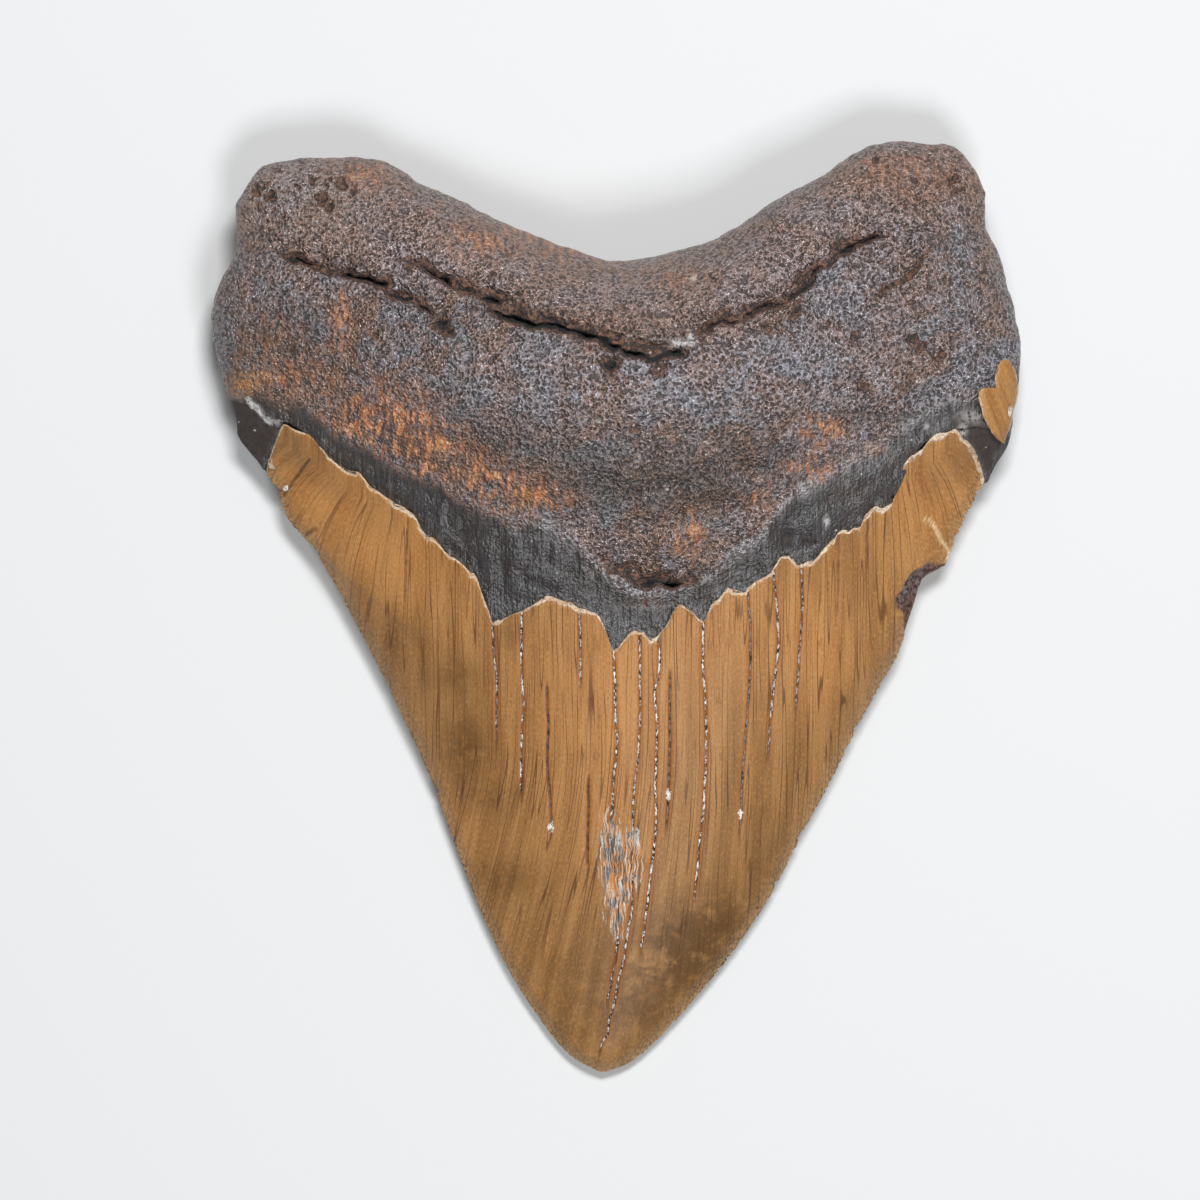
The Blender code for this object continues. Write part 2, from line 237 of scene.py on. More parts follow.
# ---- the plan net
@dataclass(frozen=True)
class PlanNet:
    """Net over the tooth's plan: u runs across from edge to edge, v up from tip to root margin.

    A net point lies on the straight line between the two edges at height v, shifted along y by the
    bow of the rows. Bows are eased from one key row to the next.
    """

    v_enamel: float = 0.50
    v_neck: float = 0.60
    v_furrow: float = 0.84
    left_edge: Points = (
        (-2, -66.6), (-6.4, -64.2), (-10.9, -58.9), (-16.1, -50.5), (-20.1, -41.8), (-23.4, -33.2),
        (-26.6, -24.4), (-31.9, -12.9), (-37.7, -1.4), (-43.4, 8.5), (-47.6, 13.8), (-48.3, 16.1),
        (-50.7, 20.2), (-53.6, 24.2), (-55.1, 29.6), (-57, 35.1), (-57.9, 41.1), (-56.6, 46.2), (-54.3, 52.2),
        (-54.1, 57.4), (-52.6, 60.8))
    left_keys: tuple[int, ...] = (0, 12, 14, 18, 20)
    right_edge: Points = (
        (-2, -66.6), (1.7, -65.2), (5.9, -61.8), (10.7, -56.6), (16.3, -49.8), (22.1, -41.2), (26.6, -32.6),
        (31.1, -24.1), (35.4, -15.5), (39.1, -8.9), (44.4, -0.1), (48.1, 8.5), (50.4, 13.6), (52.9, 18.2),
        (55.7, 23.2), (56.9, 27.5), (57.7, 36.8), (56.6, 44.5), (54.4, 51.1), (52.9, 54.6), (52.7, 59.6))
    right_keys: tuple[int, ...] = (0, 13, 15, 19, 20)
    chip: Track = ((-7.0, -4.0, -0.5, 4.2, 5.6, 6.2), (0.0, 0.8, 2.0, 2.6, 0.9, 0.0))
    chip_fade: float = 14.0
    enamel_row: Points = (
        (-50.7, 20.2), (-50.3, 21.1), (-49.1, 23.4), (-48.1, 25.3), (-47.6, 26.2), (-47.1, 26.3),
        (-46.6, 25.9), (-45.3, 25.2), (-44.3, 25.4), (-42.9, 24.4), (-42.2, 23.2), (-40.6, 21.3),
        (-38.7, 19.9), (-36.4, 19.4), (-35.8, 18.1), (-34, 16.9), (-32.3, 15.2), (-30.3, 14.4), (-28.4, 12.5),
        (-27.4, 10.8), (-25.4, 9.1), (-24.3, 7.9), (-23.1, 6.9), (-20.9, 5.6), (-19.9, 4.5), (-19.6, 3.4),
        (-18.9, 1.4), (-17.9, -1.2), (-17.7, -2.1), (-16.3, -1.5), (-14.8, -0.9), (-12.3, 0.4), (-10.9, 1.1),
        (-9.9, 1.9), (-8.6, 1.4), (-6.6, 0.8), (-4.4, -0.1), (-2.3, -1.4), (-1.1, -4.4), (-0.3, -5.8),
        (0.6, -5.1), (1.4, -4.1), (2.4, -3.2), (3.4, -3.2), (4.6, -3.8), (5.6, -4.1), (6.3, -3.2),
        (7.3, -2.1), (8, -0.9), (9.3, 0.5), (10.4, -0.2), (11.6, -1.4), (12.3, -1.8), (13.7, 0.5),
        (14.7, 1.1), (15.3, 2.4), (16.4, 2.9), (17.7, 2.5), (18.4, 2.1), (18.7, 2.8), (19.7, 3.9),
        (20.9, 4.8), (22, 5.2), (22.9, 6.6), (23.4, 7.2), (24.7, 7.1), (26, 5.9), (27.1, 6.6), (28.1, 6.9),
        (28.9, 7.8), (29.4, 8.9), (30.7, 9.6), (31.3, 10.5), (32.4, 11.2), (34, 11.4), (34.6, 11.6),
        (35.3, 13.1), (36.7, 14.2), (38.1, 14.5), (39, 14.9), (39.7, 16.2), (40.3, 17.8), (40.5, 18.8),
        (40.9, 20.4), (41.7, 21.4), (43.4, 22.5), (44.6, 24.1), (46, 25.2), (47.9, 25.4), (48.4, 25.6),
        (49.4, 24.4), (50.3, 23.6), (51.3, 22.5), (52, 20.9), (52.9, 18.2))
    tatter: float = 0.30
    tatters: Points = ((42, 61.0), (95, 62.0))
    lower_enamel: tuple[float, float] = (9.0, 0.0045)
    lower_stations: tuple[float, ...] = (-46.0, -38.0, -26.0, -13.0, 0.0, 13.0, 26.0, 38.0, 47.0)
    neck_row: Points = (
        (-55.1, 29.6), (-45.1, 27.5), (-33.7, 21.8), (-25.1, 15.4), (-16.6, 11.1), (-8, 5.4), (-0.9, 1.8),
        (3.4, 1.1), (12, 3.2), (20.6, 6.8), (29.1, 12.5), (36.3, 18.2), (40.6, 22.5), (47.7, 26.8),
        (56.9, 27.5))
    furrow_row: Points = (
        (-54.3, 52.2), (-46.6, 50.2), (-31.6, 45.5), (-15.1, 41.5), (0, 37.2), (8, 37.2), (20.9, 42.4),
        (30.4, 48.5), (39.3, 53), (52.9, 54.6))
    root_margin: Points = (
        (-52.6, 60.8), (-50.1, 63.4), (-45.1, 64.4), (-37.3, 64.5), (-33, 63.6), (-27.9, 60.8), (-21, 57.6),
        (-14.1, 54.2), (-7.3, 51.6), (0.4, 49.8), (4.7, 50.4), (9.9, 51.5), (16.7, 54.2), (21.9, 57.9),
        (28.7, 61.5), (33.9, 64.9), (39, 66.6), (45.9, 66.4), (49.3, 65.1), (51.3, 62.8), (52.7, 59.6))
    smooth_stops: tuple[float, ...] = (0.0, 0.42, 0.50, 0.60, 0.84, 1.0)
    smooth_bows: tuple[float, ...] = (0.0, -24.0, -25.5, -25.0, -16.8, -10.2)
    smooth_powers: tuple[float, ...] = (1.8, 1.8, 1.6, 1.6, 1.7, 1.8)

    def edge_length(self, v: Array, points: Points, keys: tuple[int, ...]) -> Array:
        """Length along an edge from the tip to height v; its key points lie on the key rows."""
        stops = (0.0, self.v_enamel, self.v_neck, self.v_furrow, 1.0)
        return smooth_track(v, stops, path_lengths(points)[list(keys)])

    def straight(self, u: Array, v: Array) -> Pair:
        """Point on the straight line between the two edges at height v.

        Args:
            u: Place across, -1 to 1.
            v: Height on the net.

        Returns:
            x and y.
        """
        share = (1 + u) / 2
        left_x, left_y = path_point(self.left_edge, self.edge_length(v, self.left_edge, self.left_keys))
        right_x, right_y = path_point(self.right_edge, self.edge_length(v, self.right_edge, self.right_keys))
        return left_x + share * (right_x - left_x), left_y + share * (right_y - left_y)

    def half_width(self, v: Array) -> Array:
        """Half the way across from edge to edge at height v."""
        return (self.straight(np.ones_like(v), v)[0] - self.straight(-np.ones_like(v), v)[0]) / 2

    def blend_rows(self, v: Array, bows: list[Array]) -> Array:
        """Ease from each key row's bow to the next one's.

        Args:
            v: Heights on the net.
            bows: How far each key row is bowed up.

        Returns:
            The bow at v.
        """
        bow = bows[0]
        stops = self.smooth_stops
        for low, high, below, above in zip(stops, stops[1:], bows, bows[1:]):
            blend = ease(low, high, v)
            bow = np.where(v >= low, below * (1 - blend) + above * blend, bow)
        return bow

    def plain_bows(self, u: Array) -> list[Array]:
        """Bows of the key rows as plain rounded chevrons, each 1 - |u| to its own power."""
        return [bow * (1 - np.abs(u) ** power) for bow, power in zip(self.smooth_bows, self.smooth_powers)]

    def row_bow(self, share: Array, row: Points) -> Array:
        """How far a key row lies above the straight line between its ends.

        Args:
            share: Share of the way from its left end to its right one.
            row: The row.

        Returns:
            The height above that line.
        """
        (left_x, left_y), (right_x, right_y) = row[0], row[-1]
        height = course_height(row, left_x + share * (right_x - left_x))
        return height - (left_y + share * (right_y - left_y))

    def lower_row(self) -> Points:
        """Enamel's end on the lip side: a shallow parabola between the same two edge points.

        Returns:
            The row.
        """
        base, rise = self.lower_enamel
        middle = tuple((x, base + rise * x * x) for x in self.lower_stations)
        return self.enamel_row[0], *middle, self.enamel_row[-1]

    def plan(self, u: Array, v: Array, enamel_row: Points | None = None) -> Pair:
        """Plan position of net points.

        Args:
            u: Place across, -1 to 1.
            v: Place up, 0 to 1.
            enamel_row: Key row where the enamel ends; the tongue side's row if left out.

        Returns:
            x and y in millimetres.
        """
        share = (1 + u) / 2
        bows = self.plain_bows(u)
        rows = (enamel_row or self.enamel_row, self.neck_row, self.furrow_row, self.root_margin)
        bows[2:] = [self.row_bow(share, row) for row in rows]
        broad, fine = (value_noise(count * u, 0 * u, seed) for count, seed in self.tatters)
        bows[2] = bows[2] + np.clip(6 * (1 - np.abs(u)), 0, 1) * self.tatter * (broad + 0.8 * fine)
        x, y = self.straight(u, v)
        y = y + self.blend_rows(v, bows)
        broken = smooth_track(y, *self.chip)
        return x - broken * np.clip(u, 0, 1) ** self.chip_fade, y

    def level(self, u: Array, y: Array) -> Array:
        """Height on the net of unbroken rows, found by halving the range of v 18 times.

        Args:
            u: Place across, -1 to 1.
            y: Plan height in millimetres.

        Returns:
            v, from 0 to 1.
        """
        low, high = np.zeros_like(y), np.ones_like(y)
        bows = self.plain_bows(u)
        for _ in range(18):
            middle = (low + high) / 2
            over = self.straight(u, middle)[1] + self.blend_rows(middle, bows) > y
            high = np.where(over, middle, high)
            low = np.where(over, low, middle)
        return (low + high) / 2

    def outline(self) -> Array:
        """The closed plan outline as a dense run of points.

        Returns:
            The points, up the left edge, over the root margin and down the right edge.
        """
        side, across = np.linspace(0, 1, 260), np.linspace(-1, 1, 160)
        left = np.column_stack(self.plan(-np.ones_like(side), side))
        top = np.column_stack(self.plan(across, np.ones_like(across)))
        right = np.column_stack(self.plan(np.ones_like(side), side))
        return np.vstack([left, top[1:-1], right[::-1]])


# ---- the tooth's form
@dataclass(frozen=True)
class Crevice:
    """Torn furrow in the root: a narrow core with a torn terrace above it.

    The course runs from left to right. Steep is the core's half width, crumbled the reach of the
    terrace, terrace its share of the depth, and step how much lower the ground above lies.
    """

    course: Points
    depth: float
    steep: float
    crumbled: float
    step: float = 0.0
    terrace: float = 0.42

    def above(self, x: Array, y: Array) -> Array:
        """0 on the lower, steep side and 1 on the upper, crumbled side."""
        return ease(-0.3, 0.3, y - course_height(self.course, x))

    def taper(self, x: Array, y: Array) -> Array:
        """Ease the furrow in and out at its two ends.

        Args:
            x, y: Plan points.

        Returns:
            0 at either end, rising to 1 within 4 mm of it.
        """
        (left_x, left_y), (right_x, right_y) = self.course[0], self.course[-1]
        end = np.minimum(np.hypot(x - left_x, y - left_y), np.hypot(x - right_x, y - right_y))
        return ease(-0.6, 4.0, end)

    def profile(self, x: Array, y: Array, bites: Array) -> Array:
        """Share of the full depth: a bell at the core and a torn terrace above it.

        Args:
            x, y: Plan points.
            bites: Noise that tears the terrace's end.

        Returns:
            The larger of the two shares.
        """
        away = path_distance(x, y, self.course)
        terrace = ease(1.6 * self.crumbled, 0.6 * self.crumbled, away + bites)
        return np.maximum(bell(away, 0, self.steep), self.terrace * self.above(x, y) * terrace)


@dataclass(frozen=True)
class RootRelief:
    """Lumps, furrows, pits and grain of the root, as heights in millimetres over the plan."""

    crevices: tuple[Crevice, ...] = (
        Crevice(((-49, 51.2), (-45, 49.3), (-39, 47.4), (-34.5, 46.3), (-31, 44.4), (-28, 43.5),
                 (-25.4, 41.8), (-24.4, 40.6)), depth=1.9, steep=0.38, crumbled=0.8, step=0.6),
        Crevice(((-30.4, 50.3), (-27, 47.6), (-23, 45.7), (-20, 44.4), (-17, 43.4), (-13.6, 42.4)), depth=2.2,
                 steep=0.40, crumbled=1.2, step=0.9),
        Crevice(((-19, 42.4), (-15.5, 41.2), (-11.3, 40), (-6.5, 39.4), (-2.8, 38.2), (1.4, 36.2),
                 (4.5, 35.7), (8.3, 35.8), (10.4, 37.4)), depth=3.2, steep=0.50, crumbled=1.6, step=1.1),
        Crevice(((9, 36.6), (11, 38.6), (14.7, 40.6), (18.4, 41.3), (21, 42.5), (24.1, 43.6), (26.3, 45.4),
                 (29, 48.3), (33, 50.8), (36.7, 52.5), (39.3, 53.6)), depth=1.9, steep=0.36, crumbled=1,
                 step=0.9),
        Crevice(((24.7, 39.8), (25.3, 42.6), (25.9, 44.5)), depth=2.2, steep=0.6, crumbled=0.6),
        Crevice(((36.6, 42.8), (38.6, 45.4), (40.1, 46.2), (42.1, 47.5), (43.6, 50), (44.9, 53)), depth=1.1,
                 steep=0.4, crumbled=0.7, step=0.3),
        Crevice(((-1.9, 4.9), (-0.6, 5.4), (0.9, 5.6), (2, 4.9), (3, 3.7), (4.1, 3.3), (5.6, 3.5), (6.7, 3.3),
                 (8, 2.9), (9.1, 3.4), (10.6, 3.6), (11.6, 3.9), (12.6, 4.6)), depth=2.2, steep=0.46,
                 crumbled=1.3, step=0.4),
        Crevice(((-54, 30.4), (-50.5, 29), (-47.4, 26.6)), depth=0.5, steep=0.45, crumbled=0.45))
    pits: Spots = (
        (-0.9, 34.3, 2, 1), (0.3, 35.2, 0.9, 0.7), (6.1, 33.8, 1, 0.9), (2.5, 25.6, 0.7, 0.8),
        (-24.8, 40.4, 2, 0.9), (-24, 39.2, 1.4, 0.6), (35.1, 31.5, 1.3, 0.6), (34, 38.4, 1.1, 0.6),
        (21.3, 39.9, 1.2, 0.7), (42.1, 38.2, 1.4, 0.7), (43.4, 36.9, 1.1, 0.6), (48.1, 61.2, 1, 0.6),
        (36.7, 64.2, 0.9, 0.6), (-51, 59.6, 1.2, 0.7), (-49.4, 58.8, 1, 0.6), (-41.9, 57.8, 1.2, 0.6),
        (-40.7, 57.2, 1.2, 0.6), (-39.1, 60.5, 1.2, 0.7), (-37.2, 59.3, 1, 0.5), (-43.4, 60.8, 0.9, 0.6),
        (-45.9, 36.4, 0.8, 0.5), (-29.7, 49, 0.8, 0.6), (14, 46.5, 0.6, 0.5), (-17.6, 47.4, 0.6, 0.5),
        (-21.6, 10.4, 0.9, 1), (24.3, 9.9, 1, 1.1), (27.2, 9.6, 0.7, 0.7), (5.9, 22.5, 0.5, 0.5),
        (-34, 38.5, 0.7, 0.5), (-14, 31, 0.4, 0.5))
    pocks: Spots = (
        (-45, 59.5, 8, 3.5, 1), (42, 38, 9, 6, 0.8), (46, 60, 6, 5, 0.8), (40, 50, 8, 4, 0.6),
        (2, 32, 8, 3, 0.5), (-40, 44, 9, 4, 0.5), (20, 38, 9, 4, 0.5), (-12, 33, 9, 4, 0.3))
    lumps: Spots = (
        (-40, 43, 8, 0.9), (-22, 33, 10, 0.7), (0, 27, 9, 0.5), (18, 33, 9, 0.9), (41, 40, 8, 0.8),
        (-46, 58, 6, 0.7), (44, 60, 6, 0.8), (8, 8, 5, 0.7), (-10, 46, 6, 0.4), (28, 55, 6, 0.5),
        (-38, 38.5, 3, -0.5), (33, 41, 4, -0.7), (-30, 53, 4, -0.4), (45, 50, 3.5, 0.6))
    band_top: Points = (
        (-52.3, 30.1), (-45, 28.5), (-42.1, 26.4), (-40, 24.4), (-35.4, 22), (-30.8, 19.2), (-26.4, 17.4),
        (-21.9, 14.8), (-18.1, 12.9), (-12, 11.5), (-8, 10), (-3.7, 6.4), (0.3, 2.4), (4, 1.4), (7.7, 1.9),
        (11.9, 3.9), (17.1, 6.8), (21, 10.2), (23.6, 13.8), (26.8, 16.7), (31.7, 19.2), (36.5, 21.8),
        (41.4, 25), (46.2, 27.9), (51, 29.6), (57, 33))
    band_groove: float = 0.7
    ripple: float = 0.26
    grain: float = 0.11
    pock_depth: float = 0.9

    def stray(self, x: Array, y: Array, reach: float, size: float) -> Pair:
        """Plan points moved about by noise, so that edges drawn with them come out ragged."""
        return x + reach * layered_noise(x, y, size, 3, 5.0), y + reach * layered_noise(x, y, size, 3, 9.0)

    def hollows(self, x: Array, y: Array) -> Array:
        """Depth of furrows, pits and pocked spots, each falling off as a bell.

        Args:
            x, y: Plan points.

        Returns:
            The deepest of them at each point.
        """
        depth = np.zeros_like(x)
        far_x, far_y = self.stray(x, y, 0.52, 2.2)
        bites = 0.55 * layered_noise(x, y, 1.4, 3, 33.0)
        uneven = 0.72 + 0.34 * layered_noise(x, y, 2.0, 2, 31.0)
        for crevice in self.crevices:
            full = crevice.taper(x, y) * uneven * crevice.depth
            depth = np.maximum(depth, full * crevice.profile(far_x, far_y, bites))
        near_x, near_y = self.stray(x, y, 0.46, 0.9)
        for pit_x, pit_y, deep, half in self.pits:
            away = np.hypot(near_x - pit_x, (near_y - pit_y) * 0.85)
            depth = np.maximum(depth, deep * np.exp(-(away / half) ** 2.2))
        pocked = ease(0.55, 0.95, layered_noise(x, y, 1.2, 2, 41.0))
        return np.maximum(depth, self.pock_depth * (pocked * np.clip(patches(x, y, self.pocks), 0, 1)))

    def ledges(self, x: Array, y: Array) -> Pair:
        """Ground beside the furrows: it lies lower above each one and is torn along it.

        Args:
            x, y: Plan points.

        Returns:
            The drop in millimetres, and how torn the ground is, from 0 to 1.
        """
        drop, torn = np.zeros_like(x), np.zeros_like(x)
        for crevice in self.crevices:
            away = path_distance(x, y, crevice.course)
            above = crevice.above(x, y) * crevice.taper(x, y)
            drop += crevice.step * above * np.exp(-away / 5.0)
            torn = np.maximum(torn, (0.3 + 0.7 * above) * bell(away, 0, 2.9) * min(1.0, crevice.depth))
        return drop, torn

    def below_band_top(self, x: Array, y: Array) -> Array:
        """How far a point lies below the top of the neck band, measured along y."""
        return course_height(self.band_top, x) - y

    def swell(self, x: Array, y: Array) -> Array:
        """Smooth relief: ripples as products of bent sines, lumps as bells, furrow steps, neck groove.

        Args:
            x, y: Plan points.

        Returns:
            The height that it adds.
        """
        broad = np.sin(0.55 * x + 1.3 * np.sin(0.31 * y)) * np.sin(0.47 * y + 1.1 * np.sin(0.27 * x))
        height = self.ripple * (broad + 0.6 * np.sin(1.3 * x + 0.9 * y + 2.0) * np.sin(0.8 * y - 0.6 * x))
        for lump_x, lump_y, half, rise in self.lumps:
            height += rise * np.exp(-((x - lump_x) ** 2 + (y - lump_y) ** 2) / half ** 2)
        below = self.below_band_top(x, y)
        groove = ease(-0.6, 1.2, below) * bell(np.maximum(below - 1.2, 0), 0, 4.5)
        return height - self.ledges(x, y)[0] - self.band_groove * groove + self.neck_ridges(x, y)

    def neck_ridges(self, x: Array, y: Array) -> Array:
        """Folds of bone along the neck band's top; the two upper ones only on the right.

        Args:
            x, y: Plan points.

        Returns:
            Their height.
        """
        below = self.below_band_top(x, y)
        folds = 0.45 * bell(below, -4.0, 1.6) + 0.25 * bell(below, -9.0, 2.0)
        return 0.25 * bell(below, -1.0, 0.9) + ease(8.0, 22.0, x) * folds

    def grit(self, x: Array, y: Array, v: Array) -> Array:
        """Grain of the bone: layered noise, growth ridges along the neck, streaks and torn ledges.

        Args:
            x, y: Plan points.
            v: Their heights on the net.

        Returns:
            The height that it adds.
        """
        coarse = layered_noise(x, y, 7.0, 2, 2.0)
        pebbles = layered_noise(x, y * 0.8, 1.5, 2, 7.0)
        ridges = np.sin((v - 0.6) * 190 + 1.8 * value_noise(x / 7, y / 7, 4.0))
        ridged = ease(0.60, 0.64, v) * ease(0.76, 0.68, v) * ease(-12.0, 10.0, x)
        streaks = value_noise(x / 0.8, y / 4.0, 12.0)
        streaked = ease(0.74, 0.60, v) * ease(4.0, -8.0, x)
        torn = self.ledges(x, y)[1] * layered_noise(x, y * 1.4, 1.5, 3, 23.0)
        grain = self.grain * (0.8 * coarse + pebbles)
        return grain + 0.24 * ridges * ridged + 0.12 * streaks * streaked + 0.75 * torn


@dataclass(frozen=True)
class ToothForm:
    """Heights of both faces over the plan net, in millimetres above the table."""

    net: PlanNet = PlanNet()
    relief: RootRelief = RootRelief()
    rim_level: Track = ((0.0, 0.1, 0.3, 0.5, 0.6, 0.84, 1.0), (1.7, 2.4, 3.8, 5.6, 7.2, 8.5, 8.5))
    blade_crest: Track = ((0.0, 0.04, 0.12, 0.25, 0.40, 0.50, 0.64), (0.0, 2.6, 4.6, 7.6, 10.8, 12.4, 13.4))
    root_crest: Track = ((0.5, 0.56, 0.62, 0.70, 0.77, 0.84, 1.0), (11.4, 12.0, 14.0, 17.2, 19.0, 18.4, 15.5))
    root_spread: float = 0.75
    rim_round: float = 7.5
    saddle_round: float = 4.5
    lower_round: float = 6.0
    lower_face: float = 1.6
    lower_hollow: float = 1.4
    lower_step: float = 0.5
    enamel_step: float = 0.7
    rest_spots: Spots = ((-42, 47, 2.7), (43, 48, 2.7), (-1.2, -55.5, 1.7))
    rest_reach: float = 10.0

    def rim(self, v: Array) -> Array:
        """Height of the outer edge at v."""
        return smooth_track(v, *self.rim_level)

    def rim_distance(self, x: Array, y: Array) -> Array:
        """Distance from plan points to the tooth's outline."""
        return path_distance(x, y, self.net.outline())

    @staticmethod
    def rounding(distance: Array, radius: Array | float) -> Array:
        """Quarter round: 0 on the rim, 1 once a radius inside it."""
        inside = np.clip(distance / radius, 0, 1)
        return np.sqrt(np.maximum(1 - (1 - inside) ** 2, 0))

    def upper(self, u: Array, v: Array, distance: Array, relief: Array) -> Array:
        """Tongue-side face: a blade of parabolic section, eased into the bulging root above the neck.

        Args:
            u: Place across the net.
            v: Height on the net of unbroken rows.
            distance: Distance to the outline.
            relief: Relief that the root adds.

        Returns:
            Height of the body under any enamel.
        """
        rim = self.rim(v)
        blade = smooth_track(v, *self.blade_crest) * (1 - u * u)
        spread = 1 / (1 + (np.abs(u) / self.root_spread) ** 3)
        radius = self.rim_round + self.saddle_round * (1 - u * u) * ease(0.6, 0.8, v)
        root = self.rounding(distance, radius) * (smooth_track(v, *self.root_crest) * spread + relief)
        share = ease(self.net.v_enamel, self.net.v_neck, v)
        return rim + blade * (1 - share) + root * share

    def lower(self, u: Array, v: Array, x: Array, y: Array, distance: Array) -> Array:
        """Lip-side face: nearly flat, hollow between the lobes and worn flat where it rests.

        Args:
            u, v: Place on the net.
            x, y: Plan points.
            distance: Distance to the outline.

        Returns:
            Height of the face.
        """
        rim = self.rim(v)
        hollow = self.lower_hollow * (1 - u * u) * bell(v, 0.84, 0.16)
        base, rise = self.net.lower_enamel
        face = self.lower_face + hollow - self.lower_step * ease(0, 0.8, base + rise * x * x - y)
        for rest_x, rest_y, dip in self.rest_spots:
            face = face - dip * np.exp(-((x - rest_x) ** 2 + (y - rest_y) ** 2) / self.rest_reach ** 2)
        blade = face + (rim - face) * np.abs(u) ** 2.6
        root = rim - (rim - face) * self.rounding(distance, self.lower_round)
        share = ease(self.net.v_enamel, self.net.v_neck, v)
        return blade * (1 - share) + root * share


# ---- surfaces to meshes
@dataclass
class Sheet:
    """Grid of points, rows by columns, with the two parameters that its rim is matched by."""

    points: Array
    across: Array
    up: Array
    values: dict[str, Array]

    @classmethod
    def of(cls, x: Array, y: Array, z: Array, *rest: object) -> "Sheet":
        """Sheet with its points given as three grids."""
        return cls(np.stack([x, y, z], axis=-1), *rest)

    def numbers(self, start: int) -> Array:
        """Point numbers by row and column, counted from start."""
        rows, columns = self.points.shape[:2]
        return np.arange(rows * columns).reshape(rows, columns) + start

    def faces(self, start: int, faces_up: bool) -> Array:
        """Corner numbers of the grid's quads.

        Args:
            start: Number of the first point.
            faces_up: Turn the quads to face up, or else down.

        Returns:
            Four numbers for each quad.
        """
        number = self.numbers(start)
        corners = [number[:-1, :-1], number[:-1, 1:], number[1:, 1:], number[1:, :-1]]
        quads = np.stack(corners, axis=-1).reshape(-1, 4)
        return quads if faces_up else quads[:, ::-1]

    def rim(self, start: int) -> Pair:
        """Walk around the grid's rim, up the left side first.

        Args:
            start: Number of the first point.

        Returns:
            Numbers of the points passed, and how far round each lies, from 0 to 4.
        """
        number = self.numbers(start)
        height = (self.up - self.up[0]) / (self.up[-1] - self.up[0])
        ends = self.across[:, :1], self.across[:, -1:]
        width = (self.across - ends[0]) / (ends[1] - ends[0])
        ring = np.concatenate([number[:, 0], number[-1, 1:], number[-2::-1, -1], number[0, -2::-1]])
        turn = np.concatenate([height, 1 + width[-1, 1:], 3 - height[-2::-1], 4 - width[0, -2::-1]])
        return ring, turn


def zip_rims(upper: Pair, lower: Pair) -> Array:
    """Close the gap between two rims with one band of triangles.

    Both rims are walked together by their turn: each step forward on either rim makes one triangle
    with the point last reached on the other.

    Args:
        upper, lower: Point numbers and turns of the two rims.

    Returns:
        Three numbers for each triangle.
    """
    (ring_a, turn_a), (ring_b, turn_b) = upper, lower
    order = np.argsort(np.concatenate([turn_a[1:], turn_b[1:]]), kind="stable")
    on_a = order < len(turn_a) - 1
    a, b = (np.concatenate([[0], np.cumsum(taken)]) for taken in (on_a, ~on_a))
    step_a = np.stack([ring_a[a[:-1]], ring_a[a[1:]], ring_b[b[:-1]]], axis=-1)
    step_b = np.stack([ring_a[a[:-1]], ring_b[b[1:]], ring_b[b[:-1]]], axis=-1)
    return np.where(on_a[:, None], step_a, step_b)


@dataclass(frozen=True)
class Placement:
    """Brings drawn millimetres to metres in the solid's box: centred, on the table, same extents."""

    low: Array
    high: Array

    def to_metres(self, points: Array) -> Array:
        """Scale and move drawn points so that the drawn box becomes the solid's box."""
        box_low, box_high = np.array(CAD_BOX)
        return box_low + (points - self.low) / (self.high - self.low) * (box_high - box_low)


def closed_object(name: str, sheets: tuple[Sheet, Sheet], placement: Placement) -> bpy.types.Object:
    """Make one closed mesh from an upper and a lower sheet.

    Args:
        name: The object's name.
        sheets: Upper and lower sheet.
        placement: How drawn points become metres.

    Returns:
        The object, at the origin, with the sheets' values as point attributes.
    """
    upper, lower = sheets
    start = upper.across.size
    points = np.concatenate([sheet.points.reshape(-1, 3) for sheet in sheets])
    quads = np.concatenate([upper.faces(0, True), lower.faces(start, False)])
    band = zip_rims(upper.rim(0), lower.rim(start))
    corners = np.concatenate([quads.ravel(), band.ravel()])
    starts = np.concatenate([np.arange(len(quads)) * 4, len(quads) * 4 + np.arange(len(band)) * 3])
    mesh = bpy.data.meshes.new(name)
    for items, field, data in ((mesh.vertices, "co", placement.to_metres(points)),
                               (mesh.loops, "vertex_index", corners), (mesh.polygons, "loop_start", starts)):
        items.add(len(data))
        items.foreach_set(field, data.ravel())
    mesh.update(calc_edges=True)
    mesh.validate()
    for key, value in upper.values.items():
        values = np.concatenate([value.ravel(), lower.values[key].ravel()])
        kind, field = ("FLOAT", "value") if len(values) == len(points) else ("FLOAT_VECTOR", "vector")
        mesh.attributes.new(key, kind, "POINT").data.foreach_set(field, values)
    mesh.shade_smooth()
    thing = bpy.data.objects.new(name, mesh)
    bpy.context.scene.collection.objects.link(thing)
    return thing


def crowd(count: int, power: float) -> Array:
    """Values from -1 to 1, evenly spaced in the middle and crowded at both ends."""
    even = np.linspace(-1, 1, count)
    return np.sign(even) * (1 - (1 - np.abs(even)) ** power)


